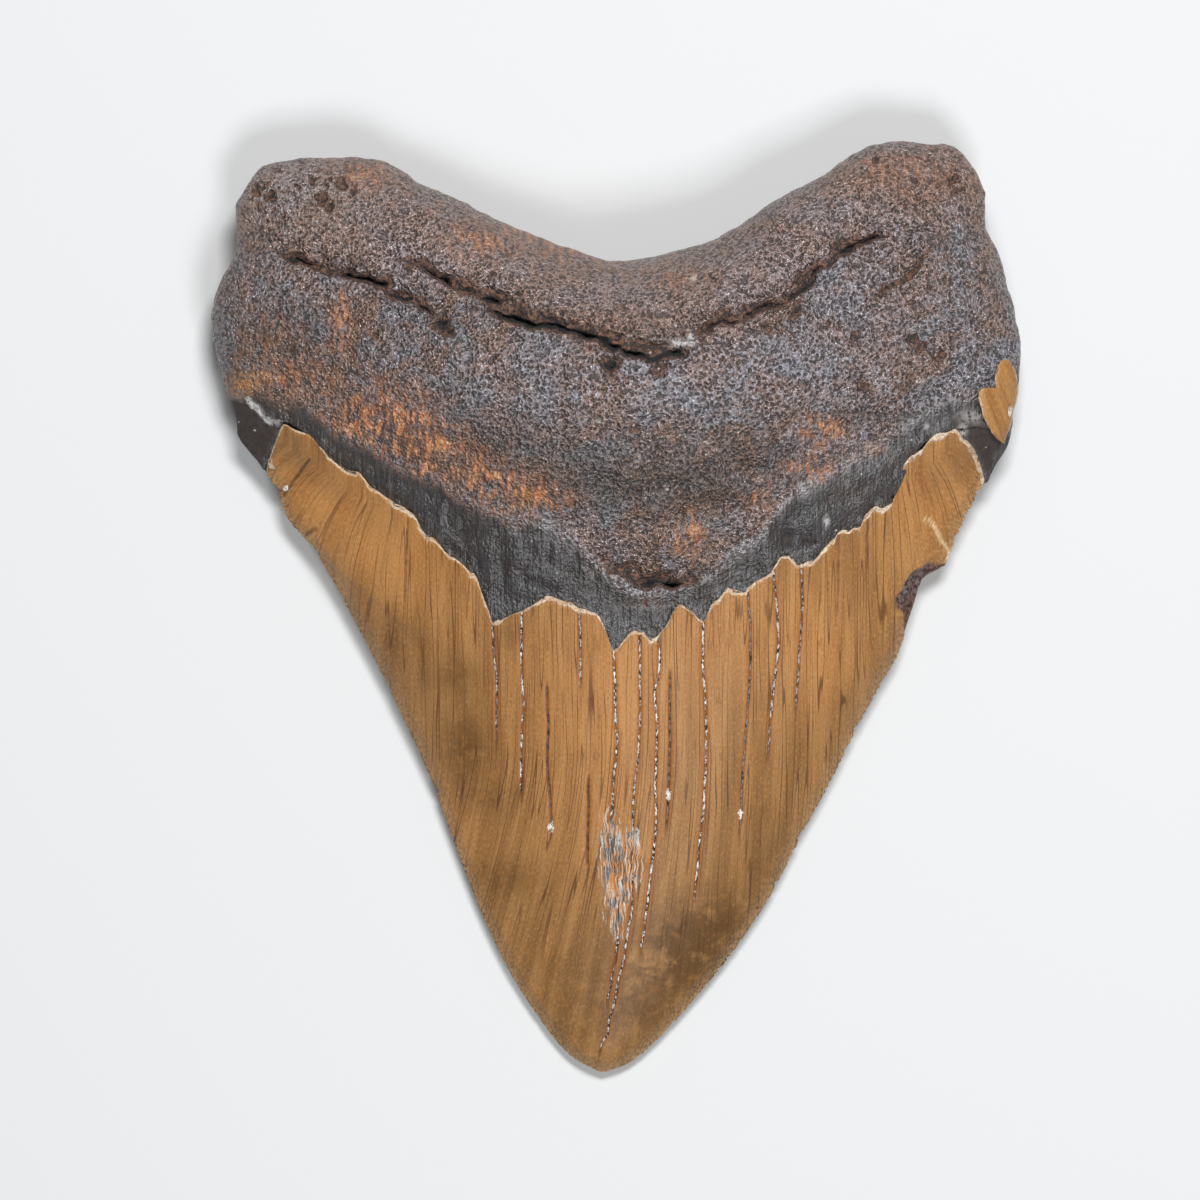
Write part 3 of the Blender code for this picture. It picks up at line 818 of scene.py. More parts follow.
# ---- the root
@dataclass(frozen=True)
class RootBody:
    """Root and neck band: everything above the enamel's broken edge, closed off inside the crown."""

    form: ToothForm
    columns: int = 396
    rows: int = 214
    lower_columns: int = 110
    lower_rows: int = 60
    tucked_rows: int = 8
    v_start: float = 0.47
    chipping: float = 0.22
    rust: Spots = (
        (-35.5, 27, 5.5, 5, 0.95), (-29.5, 25.5, 4, 4.5, 0.7), (-25.3, 23.8, 3.2, 2.8, 1.2),
        (-19.5, 19.4, 4, 2.8, 0.9), (-15.2, 16.4, 4.5, 2.6, 1), (-9.5, 15, 3.5, 2.4, 0.7),
        (-27, 19, 3, 1.8, 0.7), (-39, 39.9, 1.5, 3.2, 0.9), (-38, 44, 2, 1.5, 0.5),
        (29.1, 25.2, 3.4, 2, 0.95), (27.9, 19.8, 3.6, 2, 0.85), (20.5, 15.6, 2.6, 2.2, 0.6),
        (10.4, 10, 2.6, 3.6, 0.8), (-10.9, 52.9, 9, 3.2, 0.6), (-35.9, 61.8, 4, 2.4, 0.6),
        (4, 0.6, 3, 0.7, 1.1), (-46, 33, 4, 2.6, 0.5), (-49, 38, 5, 6, 0.3), (38.5, 21.5, 4.5, 1.6, 0.5),
        (-3, 51, 6, 2, 0.4), (40, 62, 8, 2.4, 0.35), (54, 21.5, 1.4, 1.6, 0.5), (33, 16.4, 3, 1.4, 0.4),
        (-22, 52, 5, 2, 0.35), (8, 47, 9, 2, 0.3))
    ochre: Spots = (
        (-53.3, 31.8, 2, 1.5, 1.3), (-50, 33.2, 1.8, 1.2, 0.6), (-25, 22.6, 1.2, 1.6, 0.5),
        (-12.6, 16, 1.4, 1, 0.7))
    # Pale bluish grey patches on the bulges, under the furrows and along the neck: partly bleached bone,
    # partly painted sheen.
    bleach: Spots = (
        (-12, 31, 14, 5.5, 0.8), (24, 35, 15, 6, 1), (-46, 60, 7, 4, 0.8), (38, 47, 9, 8, 0.8),
        (0, 45, 16, 4, 0.35), (42, 28.5, 10, 2.5, 0.35), (8, 31.5, 13, 4.5, 0.9), (-15, 35.5, 9, 2.5, 0.5),
        (-27, 48.5, 13, 3.2, 0.6), (24, 47.5, 10, 4.5, 0.7), (-29, 52, 6, 3, 0.7), (-42, 46, 9, 2.6, 0.6),
        (31, 57, 6, 3, 0.5), (0.4, 3.2, 2.6, 1.3, 1.3), (5.4, 1.8, 2.8, 0.9, 1.4), (9.4, 2.2, 2, 0.6, 1.1),
        (13.4, 3.9, 2.8, 0.6, 1.1), (-6, 9, 5, 2.6, 0.5), (19, 13.6, 5, 1.6, 0.6))
    shade: Spots = (
        (-34, 24, 7, 2.4, 0.45), (-19, 23.5, 9, 3.5, 0.8), (-3, 17.5, 12, 4.2, 1), (12, 16.5, 8, 3.8, 0.9),
        (-38, 20.5, 8, 2, 0.5), (-22, 30, 5, 3, 0.35), (45, 29, 8, 2, 0.4), (22, 21.5, 7, 3, 0.7),
        (37, 27, 9, 1.4, 0.8), (-13, 4, 5, 3, 0.8), (0, 22, 18, 2.5, 0.3), (-47.5, 38, 6.5, 6, 0.6),
        (6, 38.6, 6, 2, 0.4))
    bare_corner: Points = (
        (-55.6, 29.8), (-52.6, 29.6), (-50.4, 27.4), (-48, 25.8), (-50.4, 21.6), (-50.6, 19.6), (-54.8, 23))
    gap: Points = (
        (47.6, 26.6), (50.2, 28.4), (51.8, 27.4), (55, 23.9), (53.4, 18.4), (52.2, 21.2), (50.2, 24))
    crust: Points = ((-52.6, 30.0), (-51.4, 28.6), (-50.2, 27.2), (-48.6, 26.6), (-47.6, 26.4))
    crystals: Spots = (
        (9.2, 37.6, 1.5, 0.55, 1), (10.6, 38.3, 0.5, 0.8, 1), (29.9, 12.5, 0.35, 0.6, 1),
        (44.2, 26, 0.35, 0.35, 1), (11, 46.8, 0.4, 0.3, 0.8), (3, 21.2, 0.3, 0.3, 0.8),
        (-2.5, 26.4, 0.3, 0.3, 0.7), (42.1, 39.5, 0.4, 0.3, 0.8), (50.8, 27.4, 1.7, 0.9, 0.45),
        (49.4, 25.6, 0.6, 0.8, 0.6))

    def upper_sheet(self) -> Sheet:
        """Tongue-side face from just under the enamel to the root margin.

        Returns:
            The sheet; its first tucked rows lie inside the crown.
        """
        net, hidden = self.form.net, self.tucked_rows
        climb = np.linspace(0, 1, self.rows - hidden)
        shown = net.v_enamel + (1 - net.v_enamel) * (1 - (1 - climb) ** 1.35)
        rows = np.concatenate([np.linspace(self.v_start, net.v_enamel, hidden + 1)[:-1], shown])
        u = crowd(self.columns, 1.5)[None, :] * (1 - self.tuck(rows[:, None]))
        v = np.broadcast_to(rows[:, None], u.shape)
        x, y = net.plan(u, v)
        level = net.level(u, y)
        distance = self.form.rim_distance(x, y)
        distance[-1] = 0.0
        distance[hidden:, [0, -1]] = 0.0
        x, y = self.chipped(x, y, distance)
        relief = self.form.relief
        hollow, rough, swell = relief.hollows(x, y), relief.grit(x, y, level), relief.swell(x, y)
        calm = ease(net.v_enamel - 0.01, net.v_neck + 0.02, level)
        z = self.form.upper(u, level, distance, swell - hollow + rough)
        edge = slice(hidden, hidden + 1)
        shown = ease(0.0, 1.5, y - net.plan(u[edge], v[edge])[1])
        low_relief = (0.8 * swell - 0.9 * hollow + 0.5 * rough) * (1 - calm) * shown
        z = z + low_relief * inward(distance, 2.5)
        z = z - 0.5 * ease(net.v_enamel - 0.001, net.v_enamel - 0.01, v)
        return Sheet.of(x, y, z, u, rows, self.stains(x, y, level, hollow))

    def lower_sheet(self) -> Sheet:
        """Lip-side face, a little inside the rim so that the closing band rounds it.

        Returns:
            The sheet.
        """
        net, inside = self.form.net, 0.9975
        climb = np.linspace(0, 1, self.lower_rows)
        rows = self.v_start + (0.9985 - self.v_start) * (1 - (1 - climb) ** 1.5)
        u = crowd(self.lower_columns, 1.7)[None, :] * (inside - self.tuck(rows[:, None]))
        v = np.broadcast_to(rows[:, None], u.shape)
        x, y = net.plan(u, v, net.lower_row())
        level = net.level(u, y)
        distance = self.form.rim_distance(x, y)
        x, y = self.chipped(x, y, distance)
        rough = self.form.relief.grit(x + 140.0, y, level) * inward(distance, 8.0) * 0.8
        z = np.maximum(self.form.lower(u, level, x, y, distance) - rough, 0.0)
        z = z + 0.4 * ease(net.v_enamel, net.v_enamel - 0.01, v)
        return Sheet.of(x, y, z, u, rows, self.stains(x, y, level, 0 * x))

    def tuck(self, v: Array) -> Array:
        """Share by which the rows inside the crown are narrower."""
        return 0.03 * ease(self.form.net.v_enamel, self.v_start + 0.02, v)

    def chipped(self, x: Array, y: Array, distance: Array) -> Pair:
        """Plan points near the rim, moved a little by noise so that the outline isn't smooth."""
        share = self.chipping * np.exp(-distance / 1.5)
        return x + share * layered_noise(x, y, 3.0, 3, 51.0), y + share * layered_noise(x, y, 3.0, 3, 57.0)

    def stains(self, x: Array, y: Array, v: Array, hollow: Array) -> dict[str, Array]:
        """Masks that the root's finish reads.

        Args:
            x, y: Plan points.
            v: Their heights on the net; not used.
            hollow: Depth of furrows and pits there.

        Returns:
            The masks by name, each from 0 to about 1.
        """
        relief = self.form.relief
        drips = 0.8 * value_noise(x / 0.9, y / 6.0, 17.0) + 0.8 * value_noise(x / 2.8, y / 9.0, 18.0)
        bared = np.maximum(inside_depth(x, y, self.bare_corner), inside_depth(x, y, self.gap))
        from_crust = path_distance(x, y, self.crust) + 0.2 * layered_noise(x, y, 0.9, 2, 6.0)
        below = relief.below_band_top(x, y)
        band = ease(-0.8, 0.8, below + drips * (0.3 + 0.7 * ease(4.0, -12.0, x)))
        # Painted highlight: a pale strip just above the neck band's top, from left of the middle to the right
        # shoulder.
        lit = bell(below + 0.5 + 0.5 * drips, 0, 1.4) * ease(-24.0, -10.0, x)
        # Pale marks: the bleached patches, partly painted sheen, and a painted highlight on the neck folds
        # right of the middle.
        pale = patches(x, y, self.bleach) + 1.6 * relief.neck_ridges(x, y) * ease(8.0, 20.0, x)
        return {
            "rust": patches(x, y, self.rust) * (1 - 0.85 * band),
            "ochre": patches(x, y, self.ochre),
            "bleach": np.clip(pale, 0, 1),
            "band": band,
            "brink": lit * ease(54.0, 46.0, x),
            "shade": np.clip(patches(x, y, self.shade), 0, 1),
            "upper": ease(-1.0, 2.5, y - course_height(self.form.net.furrow_row, x)),
            "hollow": np.clip(hollow / 1.5, 0, 1),
            "torn": relief.ledges(x, y)[1],
            "bare_corner": ease(-0.1, 0.3, bared + 0.3 * layered_noise(x, y, 1.5, 2, 3.0)),
            "crystal": np.maximum(patches(x, y, self.crystals), 0.8 * ease(0.50, 0.15, from_crust)),
            "lobe": ease(16.0, 6.0, np.hypot(x + 47.0, (y - 58.0) * 1.2)),
        }

    def build(self) -> tuple[Sheet, Sheet]:
        """Both faces of the root."""
        return self.upper_sheet(), self.lower_sheet()


# ---- the enamel crown
@dataclass(frozen=True)
class Crack:
    """One crack in the enamel, by its course (x, y) from the broken edge down.

    It gapes from open_from down to open_to and fades out over fade below. Salted is its share of
    pale filling.
    """

    course: Points
    open_to: float
    fade: float = 8.0
    strength: float = 1.0
    salted: float = 0.5
    open_from: float = 40.0

    def x_at(self, y: Array) -> Array:
        """Course of the crack, with a slight wander by two noises.

        Args:
            y: Heights.

        Returns:
            x at each of them.
        """
        course = np.array(self.course)[::-1]
        first = 0 * y + self.course[0][0]
        wander = 0.07 * value_noise(y / 2.0, first, 71.0) + 0.04 * value_noise(y / 0.7, first, 72.0)
        return smooth_track(y, course[:, 1], course[:, 0]) + wander

    def openness(self, y: Array) -> Array:
        """Full strength where the crack gapes, easing to 0 past its lower end and above its start."""
        started = ease(self.open_from + 1.5, self.open_from - 1.5, y)
        return self.strength * started * ease(self.open_to - self.fade, self.open_to, y)


@dataclass(frozen=True)
class EnamelCrown:
    """Serrated blade with its enamel: cracked lengthwise, chipped, and broken off at the neck."""

    form: ToothForm
    rows: int = 344
    lower_columns: int = 44
    lower_rows: int = 150
    row_crowding: float = 1.12
    edge_rows: int = 14
    edge_band: float = 0.012
    lower_edge_rows: int = 4
    lower_edge_band: float = 0.004
    edge_columns: int = 12
    edge_crowding: float = 1.8
    column_gap: float = 0.49
    least_gap: float = 0.035
    central: int = 7
    groove_half: float = 0.17
    groove_depth: float = 0.32
    serration_pitch: float = 1.0
    serration_depth: float = 0.50
    lip_reach: float = 1.0
    lip_drop: float = 0.34
    flake_depth: float = 0.62
    cracks: tuple[Crack, ...] = (
        Crack(((-29.6, 13.9), (-30, 6), (-30.3, -1.8)), open_to=4, strength=0.4, salted=0),
        Crack(((-17.7, -2.1), (-17.4, -6.1), (-17, -10.4), (-17.1, -18.9), (-17.4, -27)), open_to=-13,
               fade=10, strength=0.9),
        Crack(((-13.4, -0.2), (-13.5, -5), (-13.4, -10.4), (-13.2, -13.2), (-13.5, -18.9), (-13.6, -27.5)),
               open_to=-22, fade=7, salted=0.9),
        Crack(((-9.8, 1.9), (-9.9, -10.4), (-9.7, -16.1), (-9.9, -21), (-9.5, -26.1), (-9.3, -31),
               (-9.9, -37.5)), open_to=-30, fade=5, strength=0.85, salted=0.15, open_from=-11),
        Crack(((-5.2, 0.6), (-5.1, -9.8), (-5.6, -14), (-6.7, -20), (-7, -27.5), (-7.2, -34.6)), open_to=-9.5,
               fade=3, strength=0.8),
        Crack(((-3, -0.9), (-3.5, -14), (-3.9, -24), (-4.1, -34.6), (-4.1, -41.8)), open_to=-34, fade=6,
               strength=0.75, salted=0.1, open_from=-24),
        Crack(((-0.3, -5.8), (-0.1, -16), (0.2, -18.9), (-0.3, -23.2), (-0.6, -28.9), (-1.1, -31),
               (-0.2, -38), (0.3, -46.6), (-0.1, -49.8), (-0.6, -52.6), (-1.1, -55.2), (-1.4, -57.5)),
               open_to=-54, fade=4, salted=0.9),
        Crack(((3.3, -3.3), (3.4, -13.2), (3.1, -20.4), (2.4, -27.5), (2.3, -34.6), (2.3, -42.4), (1.7, -46),
               (1, -50.4), (0.3, -53.2), (-0.1, -56.1), (-0.6, -57.5), (-1, -58.9), (-1.1, -60.6),
               (-2, -62.1), (-2.6, -64.4)), open_to=-62, fade=3, strength=0.8, salted=0.6),
        Crack(((6.1, -3.6), (6.1, -8.9), (5.5, -11.8), (5.8, -18), (5.6, -24.6), (5.7, -28.9), (5.1, -36.1),
               (4.6, -40.6), (4.1, -44.6), (3.6, -48.4), (3.1, -50.4)), open_to=-46, fade=5, salted=0.9),
        Crack(((8.4, -0.6), (7.7, -8), (7.6, -19), (7.4, -27.5), (7.1, -33)), open_to=-28, fade=6,
               strength=0.75, salted=0.25, open_from=-9),
        Crack(((12.3, -1.8), (12.3, -7.5), (12.7, -13.2), (12.8, -20.4), (12.5, -27.5), (11.9, -33.2),
               (11, -42.5), (10.6, -45.4)), open_to=-38, fade=6, salted=0.9),
        Crack(((18.7, 2.8), (19, -2), (19.1, -8), (18.7, -14.5), (18, -24), (17.8, -29.2), (17.4, -38.9)),
               open_to=-28, strength=0.75, salted=0.3),
        Crack(((22.3, 5.6), (23.1, -4.6), (22.3, -11.8), (21.6, -21.8), (21.1, -30.4)), open_to=-16, fade=9,
               strength=0.8, salted=0.6),
        Crack(((26.3, 6.2), (26.5, 1.1), (26, -7.5), (25.4, -18.9)), open_to=-12, fade=6, strength=0.65),
        Crack(((31.7, 10.9), (31.7, -0.4), (31.5, -8)), open_to=4, strength=0.35, salted=0),
        Crack(((35.9, 13.5), (35.5, 2.5), (35.3, -5)), open_to=6, strength=0.35, salted=0))
    chip: Points = (
        (43.7, 6.2), (42.4, 5.5), (41.3, 3.9), (40.9, 2.8), (39.9, 1.4), (40.6, -0.1), (41.1, -1.8),
        (41.7, -3.8), (47, -4), (50, 6.4), (44.6, 6.6))
    flake_crest: Points = (
        (44.1, 12.8), (45.1, 12.5), (45.7, 11.4), (46.4, 9.9), (47.3, 8.8), (47.8, 8.1), (47.4, 7.2))
    flake: Points = (
        (44, 12.9), (45, 12.5), (45.7, 10.8), (46.6, 9.4), (48.6, 7.6), (48, 4.6), (44.6, 4.4), (43, 7),
        (42.6, 9.9))
    wound: Points = (
        (-2.3, -32.1), (-1.6, -28.6), (-0.8, -28.2), (0.3, -31.1), (2.9, -31.6), (3.8, -34.2), (3.5, -38.2),
        (2, -40.2), (1.5, -43.2), (0.7, -46.6), (-0.2, -47), (-1.1, -43.9), (-1.4, -40.4), (-2.3, -37.5))
    clouds: Spots = (
        (-21.5, -19.5, 4.5, 5.5, 0.8), (-15.5, -38.5, 5, 3.2, 0.7), (12, -48.5, 7, 7, 1.2),
        (-2, -56, 8, 9, 0.65), (22, -36, 4, 8, 0.6), (7, -50, 6, 7, 0.45), (-23, -9.5, 4.5, 2.6, 0.6),
        (-31, -4, 3, 4, 0.35), (18, -44, 5, 5, 0.4), (-18, -27, 4, 2.5, 0.5), (4, -58, 5, 3, 0.4),
        (-16, -3.5, 2.2, 3.2, 0.45), (33, -14, 3, 6, 0.3))
    salts: Spots = (
        (-9.3, -31, 0.45, 1, 1), (17.7, -29.2, 0.4, 0.8, 1), (7.4, -26.4, 0.4, 0.9, 1),
        (-47.3, 17.3, 0.5, 0.5, 1), (-18, 5.7, 0.3, 0.3, 0.8))
    scratches: tuple[Points, ...] = (
        ((-43.8, 21.4), (-45.6, 18.9), (-47.6, 16.4)), ((-43, 11.5), (-44.4, 10.6)))
    # Painted light: lighter patches on the crown where light falls, on the middle and right of the blade and
    # on both shoulders.
    glow: Spots = (
        (-2, -12, 16, 16, 0.75), (20, -2, 16, 9, 0.7), (-31, 9, 13, 12, 0.9), (42, 16, 8, 9, 0.9),
        (-2, -33, 8, 9, 0.6), (0, -14, 3, 14, 0.4), (-42, 17, 6, 6, 0.7), (30, -10, 5, 9, 0.6),
        (-22, -32, 5, 12, 0.5))

    def serration(self, v: Array, points: Points, keys: tuple[int, ...], seed: float) -> Array:
        """Scallops with sharp notches, |sin| of the length along the edge, worn unevenly and nicked.

        Args:
            v: Heights on the net.
            points, keys: The edge, and which of its points lie on key rows.
            seed: Picks the wear.

        Returns:
            Depth cut into the edge.
        """
        length = self.form.net.edge_length(v, points, keys)
        notch = 1 - np.abs(np.sin(math.pi * length / self.serration_pitch))
        worn = 0.45 + 0.55 * ease(-0.7, 0.5, value_noise(length / 6.0, 0 * length, seed))
        nick = ease(0.50, 0.95, value_noise(length / 1.8, 0 * length, seed + 5.0))
        return (self.serration_depth * worn * notch + 0.50 * nick) * ease(0.0, 2.5, length)

    def crack_lines(self, v: Array) -> Array:
        """Lead every crack down the net.

        Each is slid along its row onto its course. Below its lower end it keeps its share of the
        way from the cutting edge to the central crack, which runs on to the tip.

        Args:
            v: The rows' heights.

        Returns:
            u by row and crack.
        """
        net = self.form.net
        count, middle = len(self.cracks), self.central
        u = np.zeros((len(v), count))
        rows = np.broadcast_to(v[:, None], u.shape)
        half = net.half_width(rows)
        for _ in range(10):
            x, y = net.plan(u, rows)
            course = np.stack([crack.x_at(y[:, i]) for i, crack in enumerate(self.cracks)], axis=1)
            u = np.clip(u + (course - x) / np.maximum(half, 1.0), -0.995, 0.995)
        centre = (u[:, middle] * ease(0.0, 0.03, v))[:, None]
        side = np.where(np.arange(count) < middle, -1.0, 1.0)
        share = (1 - side * u) / (1 - side * centre)
        share[:, middle] = 1.0
        reached = y >= np.array([crack.course[-1][1] for crack in self.cracks])
        first = np.argmax(reached, axis=0)
        share = np.where(reached, share, share[first, np.arange(count)])
        for one in (*range(middle - 1, -1, -1), *range(middle + 1, count)):
            inner = one + 1 if one < middle else one - 1
            share[:, one] = np.minimum(share[:, one], share[:, inner] - self.least_gap)
        lines = side * (1 - share * (1 - side * centre))
        lines[:, middle] = centre[:, 0]
        return lines

    def columns(self, v: Array) -> tuple[Array, Array, Array]:
        """Lay out the upper columns.

        Three columns follow each crack, on its floor and its two lips. The stretches between
        cracks are divided evenly, and the two outer ones are crowded towards the cutting edges.

        Args:
            v: The rows' heights.

        Returns:
            u by row and column, the nearest crack's number by column, and 1 on crack floors.
        """
        lines, ends, half = self.crack_lines(v), np.ones_like(v), self.form.net.half_width(v)
        gaps = np.diff(np.column_stack([-ends, lines, ends]), axis=1)
        lip = np.minimum(self.groove_half / np.maximum(half, 1e-3), 0.2 * gaps.min(axis=1))
        spans = np.diff(np.concatenate([[-1.0], lines[-1], [1.0]])) * half[-1]
        final = len(self.cracks)
        u, owner, floor = [], [], []
        for i, span in enumerate(spans):
            first = lines[:, i - 1] + lip if i > 0 else -ends
            last = lines[:, i] - lip if i < final else ends
            count = int(round(span / self.column_gap)) + self.edge_columns * (i in (0, final))
            share = np.linspace(0, 1, max(3, count))
            if i == 0:
                share = share ** self.edge_crowding
            if i == final:
                share = 1 - (1 - share) ** self.edge_crowding
            u.append(first[:, None] + share * (last - first)[:, None])
            owner.append(np.where(share > 0.5, i, i - 1).clip(0, final - 1))
            floor.append(np.zeros(len(share)))
            if i < final:
                u.append(lines[:, i:i + 1])
                owner.append(np.array([i]))
                floor.append(np.ones(1))
        return np.concatenate(u, axis=1), np.concatenate(owner), np.concatenate(floor)

    def upper_rows(self) -> Array:
        """Rows crowded towards the tip, then fine ones up to the broken edge, then the wall's two.

        Returns:
            Their heights on the net.
        """
        enamel, fine = self.form.net.v_enamel, self.edge_band
        even = np.linspace(0, 1, self.rows - self.edge_rows - 2)
        main = even ** self.row_crowding * (enamel - fine) + 0.003 * (1 - even)
        return np.concatenate([main, np.linspace(enamel - fine, enamel, self.edge_rows + 1)[1:],
                               [enamel + 0.0012, enamel + 0.003]])

    def lip(self, x: Array, y: Array, edge_y: Array) -> Array:
        """Crumbled lip below the broken edge, wider where it is crusted and at the left notch.

        Args:
            x, y: Plan points.
            edge_y: Height of the broken edge over each.

        Returns:
            1 at the edge, falling to 0 below the lip.
        """
        crust = self.crusted(x)
        crumbs = 0.34 * value_noise(x / 1.3, y / 1.3, 3.0) + 0.20 * value_noise(x / 0.5, y / 0.5, 4.0)
        thick = 0.8 + 0.9 * crust + 0.5 * bell(x, -19.0, 2.4) + 0.45 * value_noise(x / 2.6, y / 2.6, 9.0)
        below = np.maximum(edge_y - y, 0.0)
        return ease(1.0, 0.0, (below + crumbs * (1 + crust)) / (self.lip_reach * thick))

    @staticmethod
    def crusted(x: Array) -> Array:
        """Stretch of the broken edge under the right shoulder, where grey crust covers it."""
        return bell(x, 42.5, 6.0)

    def upper_sheet(self) -> Sheet:
        """Tongue-side enamel from tip to broken edge, with two rows that drop inside the root.

        Returns:
            The sheet.
        """
        net, form, rows = self.form.net, self.form, self.upper_rows()
        u, owner, floor = self.columns(rows)
        v = np.broadcast_to(rows[:, None], u.shape)
        u = u * (1 - 0.012 * ease(net.v_enamel, net.v_enamel + 0.001, v))
        x, y = net.plan(u, v)
        x = self.notched(x, u, rows)
        distance = form.rim_distance(x, y)
        distance[:, [0, -1]] = 0.0
        body = form.upper(u, net.level(u, y), distance, 0 * u)
        lip = self.lip(x, y, net.plan(u[-3:-2], v[-3:-2])[1])
        bare, flake = self.broken(x, y)
        own = [self.cracks[i] for i in owner]
        crack_away = np.abs(x - np.stack([crack.x_at(y[:, k]) for k, crack in enumerate(own)], axis=1))
        crack_away = np.where(floor > 0, 0.0, np.maximum(crack_away, 0.5 * self.groove_half))
        opened = np.stack([crack.openness(y[:, k]) for k, crack in enumerate(own)], axis=1)
        frayed = 0.35 * layered_noise(x * 2, y / 2, 1.0, 2, 8.0)
        wound = ease(-1.1, 1.0, inside_depth(x, y, self.wound) + frayed)
        z = body + form.enamel_step * inward(distance, 1.5)
        z -= self.lip_drop * lip ** 1.5 * inward(distance, 1.0)
        z -= self.groove_depth * floor * opened * inward(distance, 2.0)
        z -= (0.55 * bare + 0.30 * bare * layered_noise(x, y, 1.4, 3, 6.0)) * np.clip(distance / 0.8, 0.25, 1)
        z -= flake * inward(distance, 1.2)
        z -= wound * (0.20 + 0.14 * layered_noise(x * 2.5, y / 2.0, 1.2, 2, 21.0))
        z += 0.05 * layered_noise(x, y / 3.0, 6.0, 2, 14.0) * inward(distance, 3.0)
        z += 0.03 * value_noise(self.flow(x, y) / 2.4, y / 16.0, 44.0) * inward(distance, 3.0)
        z[-2:] = body[-2:] - np.array([0.25, 1.3])[:, None]
        values = self.marks(x, y, distance, lip)
        values |= {"crack": np.minimum(crack_away, 3.0), "opened": opened, "bare": bare, "wound": wound,
                   "salted": np.broadcast_to([crack.salted for crack in own], x.shape)}
        return Sheet.of(x, y, z, u, rows, values)

    def lower_sheet(self) -> Sheet:
        """Lip-side enamel, a little inside the cutting edges so that the closing band bevels them.

        Returns:
            The sheet.
        """
        net, form, end = self.form.net, self.form, self.form.net.v_enamel
        fine, extra = self.lower_edge_band, self.lower_edge_rows
        main = fine + (end - 2 * fine) * np.linspace(0, 1, self.lower_rows - extra - 2) ** self.row_crowding
        wall = [end + 0.0015, end + 0.003]
        rows = np.concatenate([main, np.linspace(end - fine, end, extra + 1)[1:], wall])
        u = np.broadcast_to(crowd(self.lower_columns, 1.5) * 0.994, (len(rows), self.lower_columns))
        v = np.broadcast_to(rows[:, None], u.shape)
        u = u * (1 - 0.008 * ease(end, end + 0.001, v))
        x, y = net.plan(u, v, net.lower_row())
        x = self.notched(x, u, rows)
        distance = form.rim_distance(x, y)
        z = form.lower(u, net.level(u, y), x, y, distance)
        z = z + 0.05 * layered_noise(x, y / 3.0, 7.0, 2, 19.0) * inward(distance, 4.0)
        z = np.maximum(z, 0.0)
        z[-2:] += np.array([0.5, 1.4])[:, None] * np.clip(distance[-2:] / 1.0, 0.2, 1)
        edge_y = net.plan(u[-3:-2], v[-3:-2], net.lower_row())[1]
        lip = ease(self.lip_reach, 0.0, np.maximum(edge_y - y, 0.0))
        values = self.marks(x, y, distance, lip) | {"crack": 3.0 + 0 * x}
        values |= {key: np.zeros_like(x) for key in ("opened", "salted", "bare", "wound")}
        return Sheet.of(x, y, z, u, rows, values)

    def notched(self, x: Array, u: Array, rows: Array) -> Array:
        """Cut both serrated edges into the plan: full depth on the edge, gone just inside it.

        Args:
            x, u: The points' x and place across.
            rows: Heights of their rows.

        Returns:
            x, moved in.
        """
        net = self.form.net
        left = self.serration(rows, net.left_edge, net.left_keys, 1.0)[:, None]
        right = self.serration(rows, net.right_edge, net.right_keys, 2.0)[:, None]
        return x + np.abs(u) ** 40 * np.where(u < 0, left, -right)

    def broken(self, x: Array, y: Array) -> Pair:
        """Damage at the right edge.

        Args:
            x, y: Plan points.

        Returns:
            Mask of the bare chip, and depth of the shallow flake scar above it.
        """
        ragged = 0.30 * layered_noise(x, y, 1.6, 3, 11.0)
        bare = ease(-0.10, 0.10, inside_depth(x, y, self.chip) + ragged)
        away = path_distance(x, y, self.flake_crest)
        scar = ease(-0.05, 0.15, inside_depth(x, y, self.flake)) * self.flake_depth
        scar = scar * np.exp(-away / 2.6)
        return bare, scar * (1 - bare)

    def flow(self, x: Array, y: Array) -> Array:
        """Coordinate that is constant along the growth lines: where a point's line leaves the root.

        The lines run down the blade, lean outwards at the shoulders before they straighten, and
        drift to the left over the lower third. The leaving point is found by repeated substitution.

        Args:
            x, y: Plan points.

        Returns:
            x of each point's leaving point.
        """
        edge = -5.0 + 30.0 * (np.abs(x - 1.0) / 50.0) ** 1.25
        run = 13.0 * (1 - np.exp(-np.maximum(edge - y, 0.0) / 13.0))
        drop = np.maximum(-20.0 - y, 0.0)
        x = x + (0.16 + 0.006 * np.clip(-x, -12, 20)) * drop * drop / (drop + 8.0)
        start = x
        for _ in range(14):
            left, right = -ease(26.0, 45.0, -start), ease(36.0, 52.0, start)
            start = x - 0.78 * np.where(start < 0, left, right) * run
        return start

    def marks(self, x: Array, y: Array, distance: Array, lip: Array) -> dict[str, Array]:
        """Masks and flow coordinates that the enamel's finish reads on both faces.

        Args:
            x, y: Plan points.
            distance: Distance to the outline.
            lip: Mask of the crumbled lip.

        Returns:
            The masks by name, from 0 to about 1, and the coordinates as vectors.
        """
        lined = ease(-54.0, -38.0, y + 0.30 * np.abs(x))
        scratches = [ease(0.34, 0.06, path_distance(x, y, path)) for path in self.scratches]
        return {
            "flow": np.stack([self.flow(x, y), y, 0 * x], axis=-1),
            "lip": lip,
            "cloud": patches(x, y, self.clouds),
            "lined": lined * (0.7 + 0.3 * ease(-42.0, -20.0, x)),
            "crust": self.crusted(x) * lip,
            "crest": ease(0.32, 0.05, path_distance(x, y, self.flake_crest)),
            "salt": np.clip(patches(x, y, self.salts), 0, 1),
            "scratch": np.maximum.reduce(scratches),
            "glow": np.clip(patches(x, y, self.glow), 0, 1),
            "margin": np.exp(-distance / 0.8),
        }

    def build(self) -> tuple[Sheet, Sheet]:
        """Both faces of the crown."""
        return self.upper_sheet(), self.lower_sheet()


